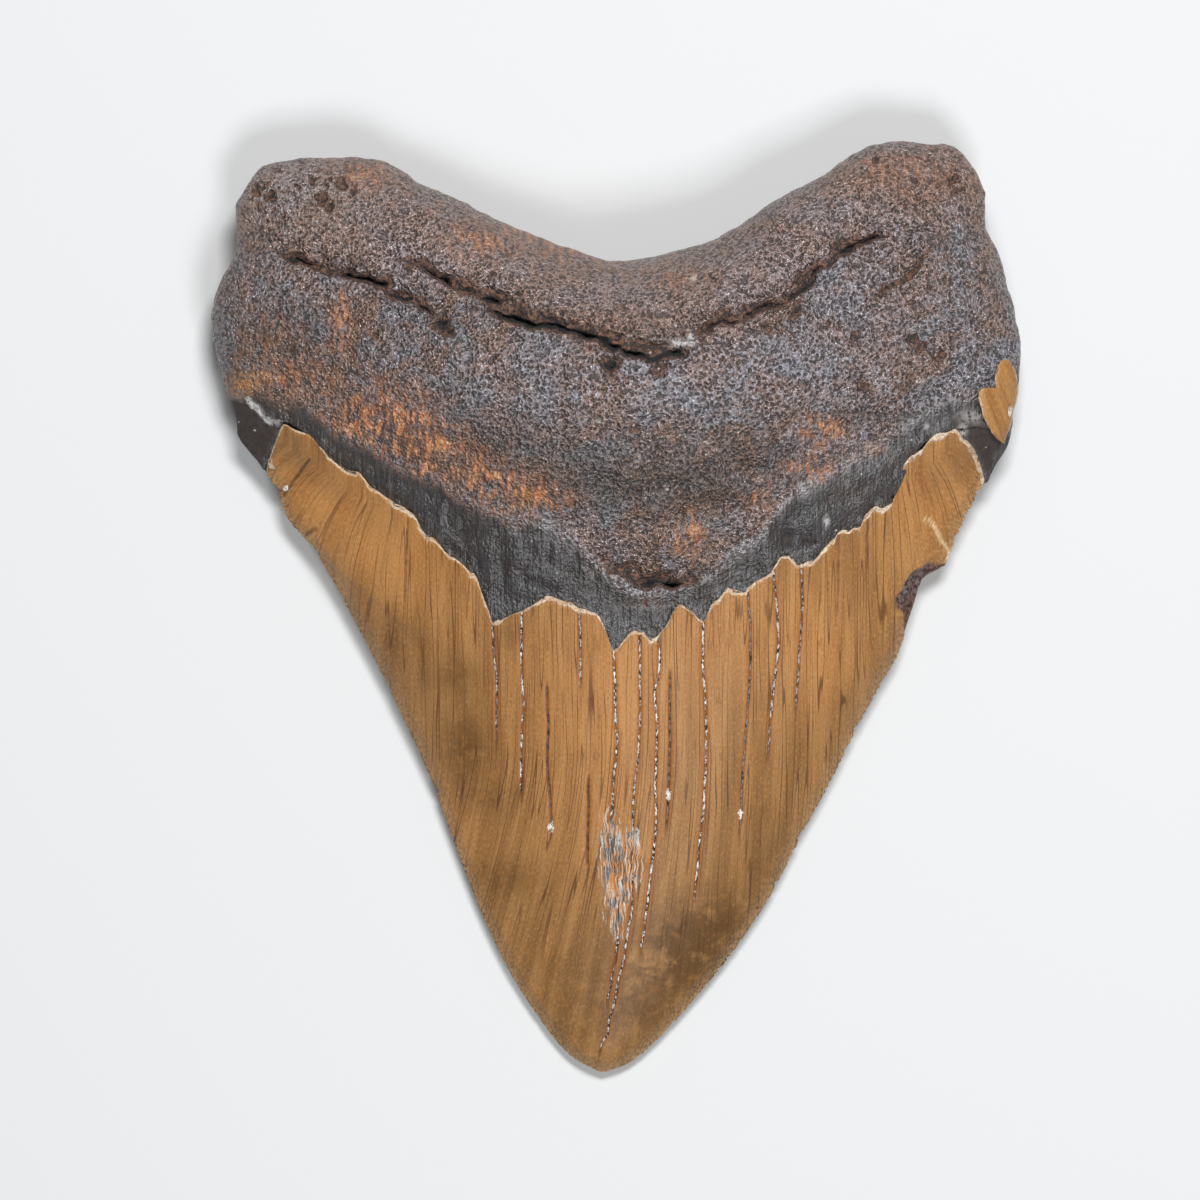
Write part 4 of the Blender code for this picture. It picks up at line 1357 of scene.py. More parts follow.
# ---- the shoulder flake
@dataclass(frozen=True)
class ShoulderFlake:
    """Flake of enamel left on the outer corner of the right shoulder."""

    form: ToothForm
    inner: Points = (
        (55.4, 23.6), (54.3, 24.4), (53.4, 25.6), (52.6, 26.8), (52, 28.2), (51.8, 29.9), (52, 31.2),
        (52.6, 31.5), (53.9, 31.4), (54.1, 31.7), (54, 33.2), (54.3, 34.5), (54.9, 35.3), (55.3, 35.7))
    outer: Points = (
        (55.5, 23.5), (55.9, 24.9), (56.4, 25.9), (56.9, 28.5), (57.4, 29.9), (57.6, 31.6), (57.2, 33.5),
        (55.9, 35.9))
    salt: tuple[float, ...] = (56.3, 28.2, 0.35, 0.8, 1.0)
    rise: float = 0.75
    least_rise: float = 0.15
    sink: float = 0.9
    rows: int = 90
    columns: int = 44

    def plan(self, across: Array, up: Array) -> Pair:
        """Straight lines between the two sides, each met at the same share of its length.

        Args:
            across: Share of the way from the inner side to the outer one.
            up: Share of the sides' lengths.

        Returns:
            x and y.
        """
        (left_x, left_y), (right_x, right_y) = (path_point(path, up * path_lengths(path)[-1])
                                                for path in (self.inner, self.outer))
        ragged = 0.22 * layered_noise(left_x, left_y, 1.2, 2, 3.0) * (1 - across)
        return left_x + ragged + across * (right_x - left_x), left_y + across * (right_y - left_y)

    def body_height(self, x: Array, y: Array) -> Array:
        """Height of the body below, after finding each point's place on the net.

        Args:
            x, y: Plan points.

        Returns:
            The body's height without relief.
        """
        net = self.form.net
        u = np.clip(x / 56.5, -1, 1)
        for _ in range(5):
            v = net.level(u, y)
            left, right = net.straight(-np.ones_like(u), v)[0], net.straight(np.ones_like(u), v)[0]
            u = np.clip(2 * (x - left) / (right - left) - 1, -1, 1)
        return self.form.upper(u, v, self.form.rim_distance(x, y) * (u < 1), 0 * u)

    def build(self) -> tuple[Sheet, Sheet]:
        """Domed upper face and a lower face sunk into the body.

        Returns:
            Both sheets.
        """
        rows = np.linspace(0.01, 0.99, self.rows)
        across = np.broadcast_to((crowd(self.columns, 1.5) + 1)[None, :] / 2, (self.rows, self.columns))
        up = np.broadcast_to(rows[:, None], across.shape)
        x, y = self.plan(across, up)
        body = self.body_height(x, y)
        rim = np.minimum.reduce([across * 4.5, (1 - across) * 5.0, up * 9.0, (1 - up) * 9.0])
        dome = np.sqrt(np.clip(rim / 0.8, 0, 1))
        wave = 0.08 * layered_noise(x, y, 2.5, 2, 13.0)
        top = body + self.least_rise + (self.rise - self.least_rise + wave) * dome
        bottom = np.maximum(body - self.sink, 0.5)
        values = {"flow": np.stack([0.9 * x + 0.4 * y, 0.9 * y - 0.4 * x, 0 * x], axis=-1),
                  "lip": 1 - dome, "margin": 1 - dome, "salt": patches(x, y, (self.salt,))}
        unused = ("cloud", "opened", "salted", "bare", "wound", "scratch", "crust", "crest")
        # The flake takes half of the crown's painted light.
        plain = {"glow": 0.5, "crack": 3.0, "lined": 0.4} | dict.fromkeys(unused, 0.0)
        values |= {key: level + 0 * x for key, level in plain.items()}
        return Sheet.of(x, y, top, across, rows, values), Sheet.of(x, y, bottom, across, rows, values)


# ---- finishes
def tone(red: float, green: float, blue: float) -> tuple[float, float, float, float]:
    """Linear colour of a tone given as it looks on a screen, 0 to 255.

    Args:
        red, green, blue: The tone's three parts.

    Returns:
        Red, green and blue in linear light, and full opacity.
    """
    share = [value / 255 for value in (red, green, blue)]
    linear = [value / 12.92 if value <= 0.04045 else ((value + 0.055) / 1.055) ** 2.4 for value in share]
    return linear[0], linear[1], linear[2], 1.0


class Graph:
    """Adds nodes to one tree and joins their sockets."""

    def __init__(self, tree: Tree) -> None:
        """Start on a tree."""
        self.tree = tree

    def feed(self, socket: Socket, value: Feed) -> None:
        """Link an output to a socket, or set the socket's own value.

        Args:
            socket: Input to feed.
            value: Output socket, number or colour.
        """
        if isinstance(value, bpy.types.NodeSocket):
            self.tree.links.new(value, socket)
        else:
            socket.default_value = value

    def node(self, kind: str, inputs: dict[str, Feed] | dict[int, Feed] | None = None,
             **settings: object) -> Node:
        """New node.

        Args:
            kind: Type name of the node.
            inputs: What feeds each input, by its name or number.
            settings: Other properties of the node, set before its inputs.

        Returns:
            The node.
        """
        node = self.tree.nodes.new(kind)
        for key, value in settings.items():
            setattr(node, key, value)
        for key, value in (inputs or {}).items():
            self.feed(node.inputs[key], value)
        return node

    def math(self, operation: str, first: Feed, second: Feed = 0.0, clamp: bool = True) -> Socket:
        """Result of one sum, product or other operation, kept between 0 and 1 if clamped."""
        node = self.node("ShaderNodeMath", {0: first, 1: second}, operation=operation, use_clamp=clamp)
        return node.outputs[0]

    def times(self, *masks: Feed) -> Feed:
        """Product of several masks."""
        return reduce(lambda product, mask: self.math("MULTIPLY", product, mask), masks)

    def ramp(self, value: Feed, low: float, high: float) -> Socket:
        """0 at low, 1 at high and an S between; low may be the larger."""
        ends = {"Value": value, "From Min": min(low, high), "From Max": max(low, high),
                "To Min": float(low > high), "To Max": float(low < high)}
        return self.node("ShaderNodeMapRange", ends, interpolation_type="SMOOTHSTEP").outputs["Result"]

    def mix(self, share: Feed, low: Feed, high: Feed) -> Socket:
        """Colour between two, by a share."""
        return self.node("ShaderNodeMix", {0: share, 6: low, 7: high}, data_type="RGBA").outputs[2]

    def tones(self, value: Feed, low: float, high: float, first: Feed, second: Feed) -> Socket:
        """First colour where a value is under low, second where it is over high, a mix between."""
        return self.mix(self.ramp(value, low, high), first, second)

    def blend(self, share: Feed, low: Feed, high: Feed) -> Socket:
        """Number between two, by a share."""
        return self.node("ShaderNodeMix", {0: share, 2: low, 3: high}, data_type="FLOAT").outputs[0]

    def stretch(self, vector: Feed, scale: Triple, shift: Triple = (0, 0, 0)) -> Socket:
        """Vector scaled, then moved."""
        inputs = {"Vector": vector, "Scale": scale, "Location": shift}
        return self.node("ShaderNodeMapping", inputs).outputs[0]

    def add(self, vector: Feed, offset: Feed) -> Socket:
        """Sum of two vectors."""
        return self.node("ShaderNodeVectorMath", {0: vector, 1: offset}, operation="ADD").outputs[0]

    def noise(self, vector: Feed, scale: float, detail: Feed = 3.0, roughness: float = 0.55,
              distortion: float = 0.0) -> Socket:
        """Fractal noise around 0.5, features about 1 / scale across."""
        inputs = {"Vector": vector, "Scale": scale, "Detail": detail, "Roughness": roughness,
                  "Distortion": distortion}
        return self.node("ShaderNodeTexNoise", inputs).outputs[0]

    def bend(self, vector: Feed, scale: float) -> Socket:
        """Vector moved about by noise with three parts of its own."""
        noise = self.node("ShaderNodeTexNoise", {"Vector": vector, "Scale": scale})
        return self.add(vector, noise.outputs["Color"])

    def cells(self, vector: Feed, scale: float) -> Node:
        """Voronoi cells."""
        return self.node("ShaderNodeTexVoronoi", {"Vector": vector, "Scale": scale})

    def mark(self, name: str, output: str = "Fac") -> Socket:
        """A value that the mesh carries."""
        return self.node("ShaderNodeAttribute", attribute_name=name).outputs[output]

    def place(self, group: Tree, **inputs: Feed) -> Node:
        """Group node with its named inputs fed."""
        return self.node("ShaderNodeGroup", inputs, node_tree=group)

    def effect(self, group: Tree, **inputs: Feed) -> Socket:
        """What a placed group gives."""
        return self.place(group, **inputs).outputs[0]


class Paint:
    """Colour built up in layers, each laid over the last where its masks are high."""

    def __init__(self, graph: Graph, ground: Feed) -> None:
        """Start from a ground colour."""
        self.graph, self.colour = graph, ground

    def lay(self, colour: Feed, *masks: Feed) -> None:
        """Lay a colour on through the product of its masks."""
        self.colour = self.graph.mix(self.graph.times(*masks), self.colour, colour)


class EffectGroups:
    """Shader node groups that several finishes use, each built once."""

    def __init__(self) -> None:
        """Build every group."""
        self.lines = self.make_lines()
        self.specks = self.make_specks()
        self.hairlines = self.make_hairlines()
        self.pebbles = self.make_pebbles()
        self.dentine = self.make_dentine()

    @staticmethod
    def start(name: str, inputs: str, outputs: dict[str, str]) -> tuple[Graph, dict[str, Socket], Node]:
        """Empty group with its sockets.

        Args:
            name: The group's name.
            inputs: Names of its inputs; Vector is a vector and the others are numbers.
            outputs: Names of its outputs and their kinds.

        Returns:
            The group's graph, what its inputs bring by name, and the node that its outputs go to.
        """
        tree = bpy.data.node_groups.new(name, "ShaderNodeTree")
        for socket in inputs.split():
            kind = "NodeSocketVector" if socket == "Vector" else "NodeSocketFloat"
            tree.interface.new_socket(socket, in_out="INPUT", socket_type=kind)
        for socket, kind in outputs.items():
            tree.interface.new_socket(socket, in_out="OUTPUT", socket_type=f"NodeSocket{kind}")
        graph = Graph(tree)
        given = graph.node("NodeGroupInput").outputs
        return graph, {socket: given[socket] for socket in inputs.split()}, graph.node("NodeGroupOutput")

    def make_lines(self) -> Tree:
        """Group of long noise: x is divided by Width and y by Length; more Detail frays it."""
        graph, given, out = self.start("drawn_lines", "Vector Width Length Detail", {"Value": "Float"})
        parts = graph.node("ShaderNodeSeparateXYZ", {0: given["Vector"]}).outputs
        across = graph.math("DIVIDE", parts[0], given["Width"], clamp=False)
        along = graph.math("DIVIDE", parts[1], given["Length"], clamp=False)
        joined = graph.node("ShaderNodeCombineXYZ", {0: across, 1: along}).outputs[0]
        graph.feed(out.inputs["Value"], graph.noise(joined, 1.0, given["Detail"], 0.5))
        return graph.tree

    def make_specks(self) -> Tree:
        """Group of scattered specks about Size across: cells whose random number lies under Amount."""
        graph, given, out = self.start("mineral_specks", "Vector Size Amount", {"Mask": "Float"})
        inverse = graph.math("DIVIDE", 0.35, given["Size"], clamp=False)
        scaled = graph.node("ShaderNodeVectorMath", {0: given["Vector"], "Scale": inverse}, operation="SCALE")
        cell = graph.cells(scaled.outputs[0], 1.0).outputs
        number = graph.node("ShaderNodeSeparateColor", {0: cell["Color"]}).outputs[0]
        chosen = graph.math("LESS_THAN", number, given["Amount"])
        graph.feed(out.inputs["Mask"], graph.times(graph.ramp(cell["Distance"], 0.22, 0.08), chosen))
        return graph.tree

    def make_hairlines(self) -> Tree:
        """Group of thin lines about Width apart and Length long, which come and go."""
        graph, given, out = self.start("growth_hairlines", "Vector Width Length", {"Mask": "Float"})
        ridge = graph.math("PINGPONG", graph.effect(self.lines, Detail=0.4, **given), 0.5)
        slow = graph.noise(graph.stretch(given["Vector"], (0.55, 0.07, 0.0), (3.0, 8.0, 0.0)), 1.0, 1.0)
        mask = graph.times(graph.ramp(ridge, 0.470, 0.494), graph.ramp(slow, 0.32, 0.56))
        graph.feed(out.inputs["Mask"], mask)
        return graph.tree

    def make_pebbles(self) -> Tree:
        """Group of pebbly stone: grains and winding ridges as a height, and slow mottle as a mask."""
        graph, given, out = self.start("pebbled_stone", "Vector", {"Height": "Float", "Mottle": "Float"})
        vector = given["Vector"]
        domes = graph.ramp(graph.cells(graph.bend(vector, 1.3), 1.75).outputs["Distance"], 0.75, 0.05)
        grit = graph.ramp(graph.noise(vector, 2.0, 1.5, 0.55), 0.25, 0.75)
        veins = graph.ramp(graph.math("PINGPONG", graph.noise(vector, 1.25, 1.2, 0.5), 0.5), 0.30, 0.50)
        graph.feed(out.inputs["Height"], graph.blend(0.35, graph.blend(0.55, domes, grit), veins))
        graph.feed(out.inputs["Mottle"], graph.noise(vector, 0.16, 6.0, 0.62, 0.6))
        return graph.tree

    def make_dentine(self) -> Tree:
        """Group of bare dentine: brown over cool grey by slow mottle, painted highlight on grain tops,
        painted shade between.
        """
        graph, given, out = self.start("bare_dentine", "Vector", {"Color": "Color", "Height": "Float"})
        vector = given["Vector"]
        stone = graph.place(self.pebbles, Vector=vector).outputs
        paint = Paint(graph, graph.tones(stone["Mottle"], 0.36, 0.62, tone(114, 109, 113), tone(122, 88, 68)))
        paint.lay(tone(128, 82, 58), graph.ramp(graph.noise(vector, 0.45, 5.0, 0.7, 0.4), 0.52, 0.70), 0.6)
        # Painted highlight on the grains' tops, painted shade between them.
        paint.lay(tone(152, 142, 138), graph.ramp(stone["Height"], 0.56, 0.76), 0.24)
        paint.lay(tone(30, 21, 17), graph.ramp(stone["Height"], 0.59, 0.32), 0.84)
        graph.feed(out.inputs["Color"], paint.colour)
        graph.feed(out.inputs["Height"], stone["Height"])
        return graph.tree


class MaterialGraph(Graph):
    """Graph of one material: knows the shared effects, Object coordinates in mm and a fine noise."""

    def __init__(self, tree: Tree, groups: EffectGroups, fine_scale: float) -> None:
        """Start on a material's tree."""
        super().__init__(tree)
        self.groups = groups
        self.mm = self.stretch(self.node("ShaderNodeTexCoord").outputs["Object"], (1 / MM, 1 / MM, 1 / MM))
        self.fine = self.noise(self.mm, fine_scale, 4.0, 0.65)


@dataclass(frozen=True)
class Finish:
    """A material with its Principled shader, and what its subclasses feed it."""

    name: str
    roughness: float
    bump: float
    gloss: float
    fine_scale: float

    def start(self, groups: EffectGroups) -> tuple[bpy.types.Material, MaterialGraph, Node]:
        """New material with the finish's gloss.

        Args:
            groups: The shared effects.

        Returns:
            The material, its graph and its shader.
        """
        material = bpy.data.materials.new(self.name)
        material.use_nodes = True
        shader = material.node_tree.nodes["Principled BSDF"]
        shader.inputs["Specular IOR Level"].default_value = self.gloss
        return material, MaterialGraph(material.node_tree, groups, self.fine_scale), shader

    def dress(self, graph: Graph, shader: Node, colour: Socket, rough: Socket, height: Socket) -> None:
        """Feed the shader, with the height through one Bump node that is bump metres tall.

        Args:
            graph: The material's graph.
            shader: Its Principled shader.
            colour: Base colour.
            rough: Roughness.
            height: Relief too fine for the mesh, from 0 to 1.
        """
        raised = graph.node("ShaderNodeBump", {"Distance": self.bump, "Height": height}).outputs[0]
        for name, value in (("Base Color", colour), ("Roughness", rough), ("Normal", raised)):
            graph.feed(shader.inputs[name], value)


@dataclass(frozen=True)
class RootFinish(Finish):
    """Dark satin dentine with rust, bleached bulges with painted sheen on them, a charcoal neck band and
    white specks.
    """

    name: str = "root_dentine"
    roughness: float = 0.23
    bump: float = 0.00044
    gloss: float = 0.9
    fine_scale: float = 1.6

    def make(self, groups: EffectGroups) -> bpy.types.Material:
        """Build the material.

        Args:
            groups: The shared effects.

        Returns:
            The material.
        """
        material, graph, shader = self.start(groups)
        dentine = graph.place(graph.groups.dentine, Vector=graph.mm).outputs
        grain = dentine["Height"]
        lines = graph.effect(graph.groups.lines, Vector=graph.mm, Width=0.40, Length=4.5, Detail=2.0)
        band, shade, hollow, corner = map(graph.mark, ("band", "shade", "hollow", "bare_corner"))
        paint = Paint(graph, dentine["Color"])
        paint.lay(graph.tones(grain, 0.25, 0.65, tone(66, 46, 36), tone(144, 108, 90)),
                  graph.mark("upper"), 0.42)
        # Pale bluish grey on the grains' tops: partly bleached bone, partly painted sheen.
        paint.lay(tone(162, 158, 166), graph.mark("bleach"), graph.ramp(graph.fine, 0.35, 0.68),
                  graph.ramp(grain, 0.35, 0.7), 0.85)
        paint.lay(graph.tones(grain, 0.3, 0.7, tone(29, 20, 15), tone(76, 57, 44)), shade, 0.78)
        paint.lay(tone(146, 132, 124), graph.mark("lobe"), graph.ramp(graph.fine, 0.45, 0.60), 0.5)
        paint.lay(self.band_tone(graph, lines), band, 0.94)
        # Painted highlight along the neck band's top.
        paint.lay(graph.tones(grain, 0.3, 0.65, tone(96, 90, 88), tone(158, 154, 155)),
                  graph.mark("brink"), graph.ramp(lines, 0.30, 0.60), 0.95)
        self.stain(graph, paint)
        torn = graph.mark("torn")
        # Painted shade between the grains of the torn ground beside the furrows.
        paint.lay(tone(38, 25, 20), torn, graph.ramp(grain, 0.62, 0.40), 0.85)
        paint.lay(tone(166, 124, 94), torn, graph.ramp(graph.fine, 0.52, 0.62), 0.5)
        # Painted shade in the furrows and pits: dark brown flecked with tan on their walls, charcoal in the
        # neck band, near black in the deepest cores.
        crumbly_shade = graph.tones(graph.fine, 0.42, 0.60, tone(26, 16, 12), tone(120, 80, 56))
        crumbly_shade = graph.mix(graph.times(band, 0.85), crumbly_shade, tone(34, 31, 31))
        paint.lay(crumbly_shade, graph.ramp(hollow, 0.05, 0.28), 0.90)
        paint.lay(tone(17, 12, 11), graph.ramp(hollow, 0.66, 0.95))
        paint.lay(graph.tones(graph.fine, 0.35, 0.65, tone(28, 14, 9), tone(52, 33, 23)), corner, 0.9)
        crystal = graph.times(graph.mark("crystal"), graph.ramp(graph.fine, 0.36, 0.50))
        specks = graph.effect(graph.groups.specks, Vector=graph.mm, Size=0.42, Amount=0.045)
        paint.lay(tone(214, 208, 202), graph.math("MAXIMUM", crystal, graph.times(specks, 0.55)))
        rough = graph.blend(graph.ramp(grain, 0.30, 0.6), self.roughness + 0.25, self.roughness)
        rough = graph.blend(graph.times(graph.mark("rust"), 0.7), rough, 0.6)
        rough = graph.blend(graph.times(band, 0.8), rough, 0.52)
        rough = graph.blend(graph.times(shade, 0.5), rough, 0.6)
        rough = graph.blend(graph.math("MAXIMUM", corner, graph.ramp(hollow, 0.10, 0.40)), rough, 0.85)
        drawn = graph.blend(0.5, graph.blend(0.5, grain, 0.5), lines)
        height = graph.blend(graph.times(band, 0.75), grain, drawn)
        self.dress(graph, shader, paint.colour, rough, graph.blend(graph.times(corner, 0.8), height, 0.5))
        return material

    @staticmethod
    def band_tone(graph: MaterialGraph, lines: Socket) -> Socket:
        """Colour of the neck band: charcoal with fine paler strokes that run down to the enamel.

        Args:
            graph: The material's graph.
            lines: Long noise of the strokes.

        Returns:
            The colour.
        """
        slow = graph.noise(graph.mm, 0.35, 3.0, 0.6)
        paint = Paint(graph, graph.tones(slow, 0.38, 0.62, tone(20, 15, 12), tone(34, 27, 22)))
        paint.lay(tone(68, 64, 63), graph.ramp(lines, 0.42, 0.62), 0.5)
        strokes = graph.effect(graph.groups.hairlines, Vector=graph.mm, Width=0.55, Length=5.0)
        paint.lay(tone(140, 136, 134), strokes, 0.30)
        return paint.colour

    @staticmethod
    def stain(graph: MaterialGraph, paint: Paint) -> None:
        """Lay on rust in short downward drips, orange with pale cores, and a little ochre.

        Args:
            graph: The material's graph.
            paint: Colour so far.
        """
        drips = graph.effect(graph.groups.lines, Vector=graph.mm, Width=0.75, Length=2.4, Detail=2.0)
        broken = graph.ramp(graph.noise(graph.mm, 0.42, 4.0, 0.6), 0.30, 0.56)
        reach = graph.times(graph.mark("rust"), broken)
        paint.lay(tone(112, 68, 44), reach, 0.58)
        paint.lay(graph.tones(graph.fine, 0.42, 0.62, tone(176, 100, 52), tone(216, 160, 112)),
                  reach, graph.ramp(drips, 0.44, 0.60))
        paint.lay(tone(52, 34, 28), reach, graph.ramp(drips, 0.40, 0.30), 0.6)
        paint.lay(tone(176, 118, 56), graph.mark("ochre"), graph.ramp(graph.fine, 0.38, 0.55))


@dataclass(frozen=True)
class EnamelFinish(Finish):
    """Ochre enamel: drawn growth lines, filled cracks, cream broken edge, bare chip and wound."""

    name: str = "ochre_enamel"
    roughness: float = 0.46
    bump: float = 0.00007
    gloss: float = 0.22
    fine_scale: float = 2.4

    def make(self, groups: EffectGroups) -> bpy.types.Material:
        """Build the material.

        Args:
            groups: The shared effects.

        Returns:
            The material.
        """
        material, graph, shader = self.start(groups)
        flow = graph.mark("flow", "Vector")
        ragged = graph.noise(graph.mm, 0.35, 5.0, 0.6, 0.5)
        hairs = graph.effect(graph.groups.hairlines, Vector=flow, Width=0.85, Length=26.0)
        hairs = graph.times(hairs, graph.mark("lined"))
        paint = Paint(graph, self.sound_tone(graph, flow, ragged))
        paint.lay(tone(78, 46, 25), hairs, 0.74)
        core = self.crack(graph, paint)
        self.break_edge(graph, paint, ragged)
        bent = graph.bend(graph.mm, 0.55)
        fibres = graph.effect(graph.groups.lines, Vector=bent, Width=0.24, Length=3.8, Detail=3.0)
        worn = graph.mark("wound")
        torn = graph.blend(0.5, worn, graph.ramp(fibres, 0.36, 0.64))
        wound = graph.times(graph.ramp(torn, 0.46, 0.58), graph.ramp(worn, 0.05, 0.35))
        paint.lay(self.fibrous(graph, bent, fibres), wound)
        dentine = graph.place(graph.groups.dentine, Vector=graph.mm).outputs
        bare = graph.mark("bare")
        paint.lay(graph.mix(0.35, dentine["Color"], tone(70, 44, 38)), bare)
        rough = graph.blend(graph.ramp(graph.fine, 0.3, 0.7), self.roughness - 0.04, self.roughness + 0.08)
        rough = graph.blend(graph.math("MAXIMUM", wound, bare), rough, 0.62)
        streaks = graph.effect(graph.groups.lines, Vector=flow, Width=0.30, Length=9.0, Detail=2.0)
        height = graph.blend(wound, graph.blend(0.45, streaks, graph.fine), fibres)
        height = graph.blend(bare, height, dentine["Height"])
        cut = graph.times(graph.math("MAXIMUM", core, graph.times(hairs, 0.5)), 0.8)
        self.dress(graph, shader, paint.colour, rough, graph.math("SUBTRACT", height, cut))
        return material

    @staticmethod
    def sound_tone(graph: MaterialGraph, flow: Socket, ragged: Socket) -> Socket:
        """Colour of sound enamel: ochre to orange, grained, streaked along the growth lines, clouded.

        Args:
            graph: The material's graph.
            flow: Coordinates along the growth lines.
            ragged: Slow noise of the clouds.

        Returns:
            The colour.
        """
        broad = graph.effect(graph.groups.lines, Vector=flow, Width=2.2, Length=28.0, Detail=2.0)
        soft = graph.effect(graph.groups.lines, Vector=flow, Width=0.42, Length=9.0, Detail=2.0)
        moved = graph.stretch(flow, (1, 1, 1), (37.0, 5.0, 0.0))
        thin = graph.effect(graph.groups.hairlines, Vector=moved, Width=0.45, Length=16.0)
        grain = graph.effect(graph.groups.lines, Vector=flow, Width=0.22, Length=0.5, Detail=2.0)
        cloud = graph.times(graph.mark("cloud"), graph.ramp(ragged, 0.22, 0.58))
        # Ochre ground, lighter where the crown's light is painted on.
        paint = Paint(graph, graph.mix(graph.mark("glow"), tone(138, 98, 56), tone(174, 119, 66)))
        paint.lay(tone(196, 144, 88), graph.ramp(broad, 0.40, 0.62), 0.38)
        paint.lay(tone(108, 70, 36), graph.ramp(soft, 0.48, 0.34), 0.26)
        paint.lay(tone(124, 72, 36), thin, 0.45, graph.mark("lined"))
        paint.lay(tone(82, 56, 27), cloud, 0.85)
        paint.lay(tone(186, 122, 62), graph.ramp(ragged, 0.52, 0.70), 0.25)
        paint.lay(tone(98, 66, 38), graph.ramp(grain, 0.50, 0.32), 0.22)
        paint.lay(tone(212, 166, 112), graph.ramp(grain, 0.52, 0.72), 0.24,
                  graph.math("SUBTRACT", 1.0, graph.times(cloud, 0.8)))
        spots = graph.effect(graph.groups.specks, Vector=flow, Size=0.8, Amount=0.02)
        paint.lay(tone(92, 56, 34), spots, 0.6)
        paint.lay(tone(206, 168, 120), graph.mark("margin"), 0.60, graph.ramp(grain, 0.38, 0.56))
        return paint.colour

    @staticmethod
    def crack(graph: MaterialGraph, paint: Paint) -> Socket:
        """Lay on the cracks: stained borders, dark cores and a grainy pale filling.

        Args:
            graph: The material's graph.
            paint: Colour so far.

        Returns:
            Mask of the dark cores.
        """
        away, opened = graph.mark("crack"), graph.mark("opened")
        uneven = graph.noise(graph.mm, 0.8, 3.0, 0.6)
        core = graph.times(graph.ramp(away, 0.25, 0.10), graph.ramp(opened, 0.0, 0.7),
                           graph.blend(graph.ramp(uneven, 0.35, 0.65), 0.45, 1.0))
        core = graph.math("MAXIMUM", core, graph.times(graph.mark("scratch"), 0.8))
        paint.lay(tone(160, 88, 38), graph.ramp(away, 0.9, 0.12), opened, graph.ramp(graph.fine, 0.3, 0.6),
                  0.65)
        paint.lay(tone(38, 26, 20), core)
        dashes = graph.noise(graph.stretch(graph.mm, (3.4, 1.5, 1.0)), 1.0, 3.0, 0.65)
        grains = graph.times(graph.ramp(dashes, 0.47, 0.56), graph.ramp(uneven, 0.36, 0.52))
        filled = graph.times(graph.ramp(away, 0.23, 0.08), graph.ramp(opened, 0.3, 0.8), grains,
                             graph.ramp(graph.mark("salted"), 0.0, 0.9))
        blobs = graph.ramp(graph.times(graph.mark("salt"), graph.ramp(graph.fine, 0.30, 0.60)), 0.30, 0.48)
        paint.lay(tone(222, 214, 204), graph.math("MAXIMUM", filled, blobs))
        return core

    @staticmethod
    def break_edge(graph: MaterialGraph, paint: Paint, ragged: Socket) -> None:
        """Lay on the broken edge: pale crest of the flake scar, grey crust, a cream, crumbled lip and a thin
        line of painted shadow along the edge itself.

        Args:
            graph: The material's graph.
            paint: Colour so far.
            ragged: Slow noise.
        """
        lip = graph.mark("lip")
        crumbs = graph.noise(graph.mm, 1.1, 4.0, 0.7)
        paint.lay(tone(228, 196, 148), graph.mark("crest"), 0.85)
        paint.lay(graph.tones(graph.fine, 0.4, 0.6, tone(128, 124, 124), tone(186, 178, 168)),
                  graph.ramp(graph.mark("crust"), 0.12, 0.45), graph.ramp(crumbs, 0.36, 0.50), 0.85)
        crumbled = graph.math("ADD", lip, graph.times(graph.ramp(crumbs, 0.3, 0.7), 0.45))
        paint.lay(graph.tones(graph.fine, 0.4, 0.6, tone(180, 148, 116), tone(216, 198, 176)),
                  graph.ramp(crumbled, 0.66, 0.88), graph.blend(graph.ramp(ragged, 0.40, 0.54), 0.55, 0.95))
        # Painted shadow: a thin dark line, broken by crumbs, along the broken edge.
        paint.lay(tone(66, 58, 54), graph.ramp(lip, 0.97, 1.0), graph.ramp(crumbs, 0.50, 0.60))

    @staticmethod
    def fibrous(graph: MaterialGraph, bent: Socket, fibres: Socket) -> Socket:
        """Colour of the wound: orange and blue-grey dentine, dark slits and white fibres.

        Args:
            graph: The material's graph.
            bent: Bent Object coordinates in millimetres.
            fibres: Long noise of the fibres.

        Returns:
            The colour.
        """
        patch = graph.noise(graph.stretch(bent, (0.9, 0.22, 1.0)), 1.0, 4.0, 0.6)
        paint = Paint(graph, graph.tones(patch, 0.44, 0.54, tone(104, 98, 94), tone(192, 126, 68)))
        paint.lay(tone(60, 48, 42), graph.ramp(fibres, 0.49, 0.40))
        paint.lay(tone(190, 176, 160), graph.ramp(fibres, 0.52, 0.60), graph.ramp(graph.fine, 0.36, 0.52))
        slits = graph.effect(graph.groups.hairlines, Vector=bent, Width=0.6, Length=6.0)
        paint.lay(tone(228, 222, 214), slits, 0.6)
        return paint.colour


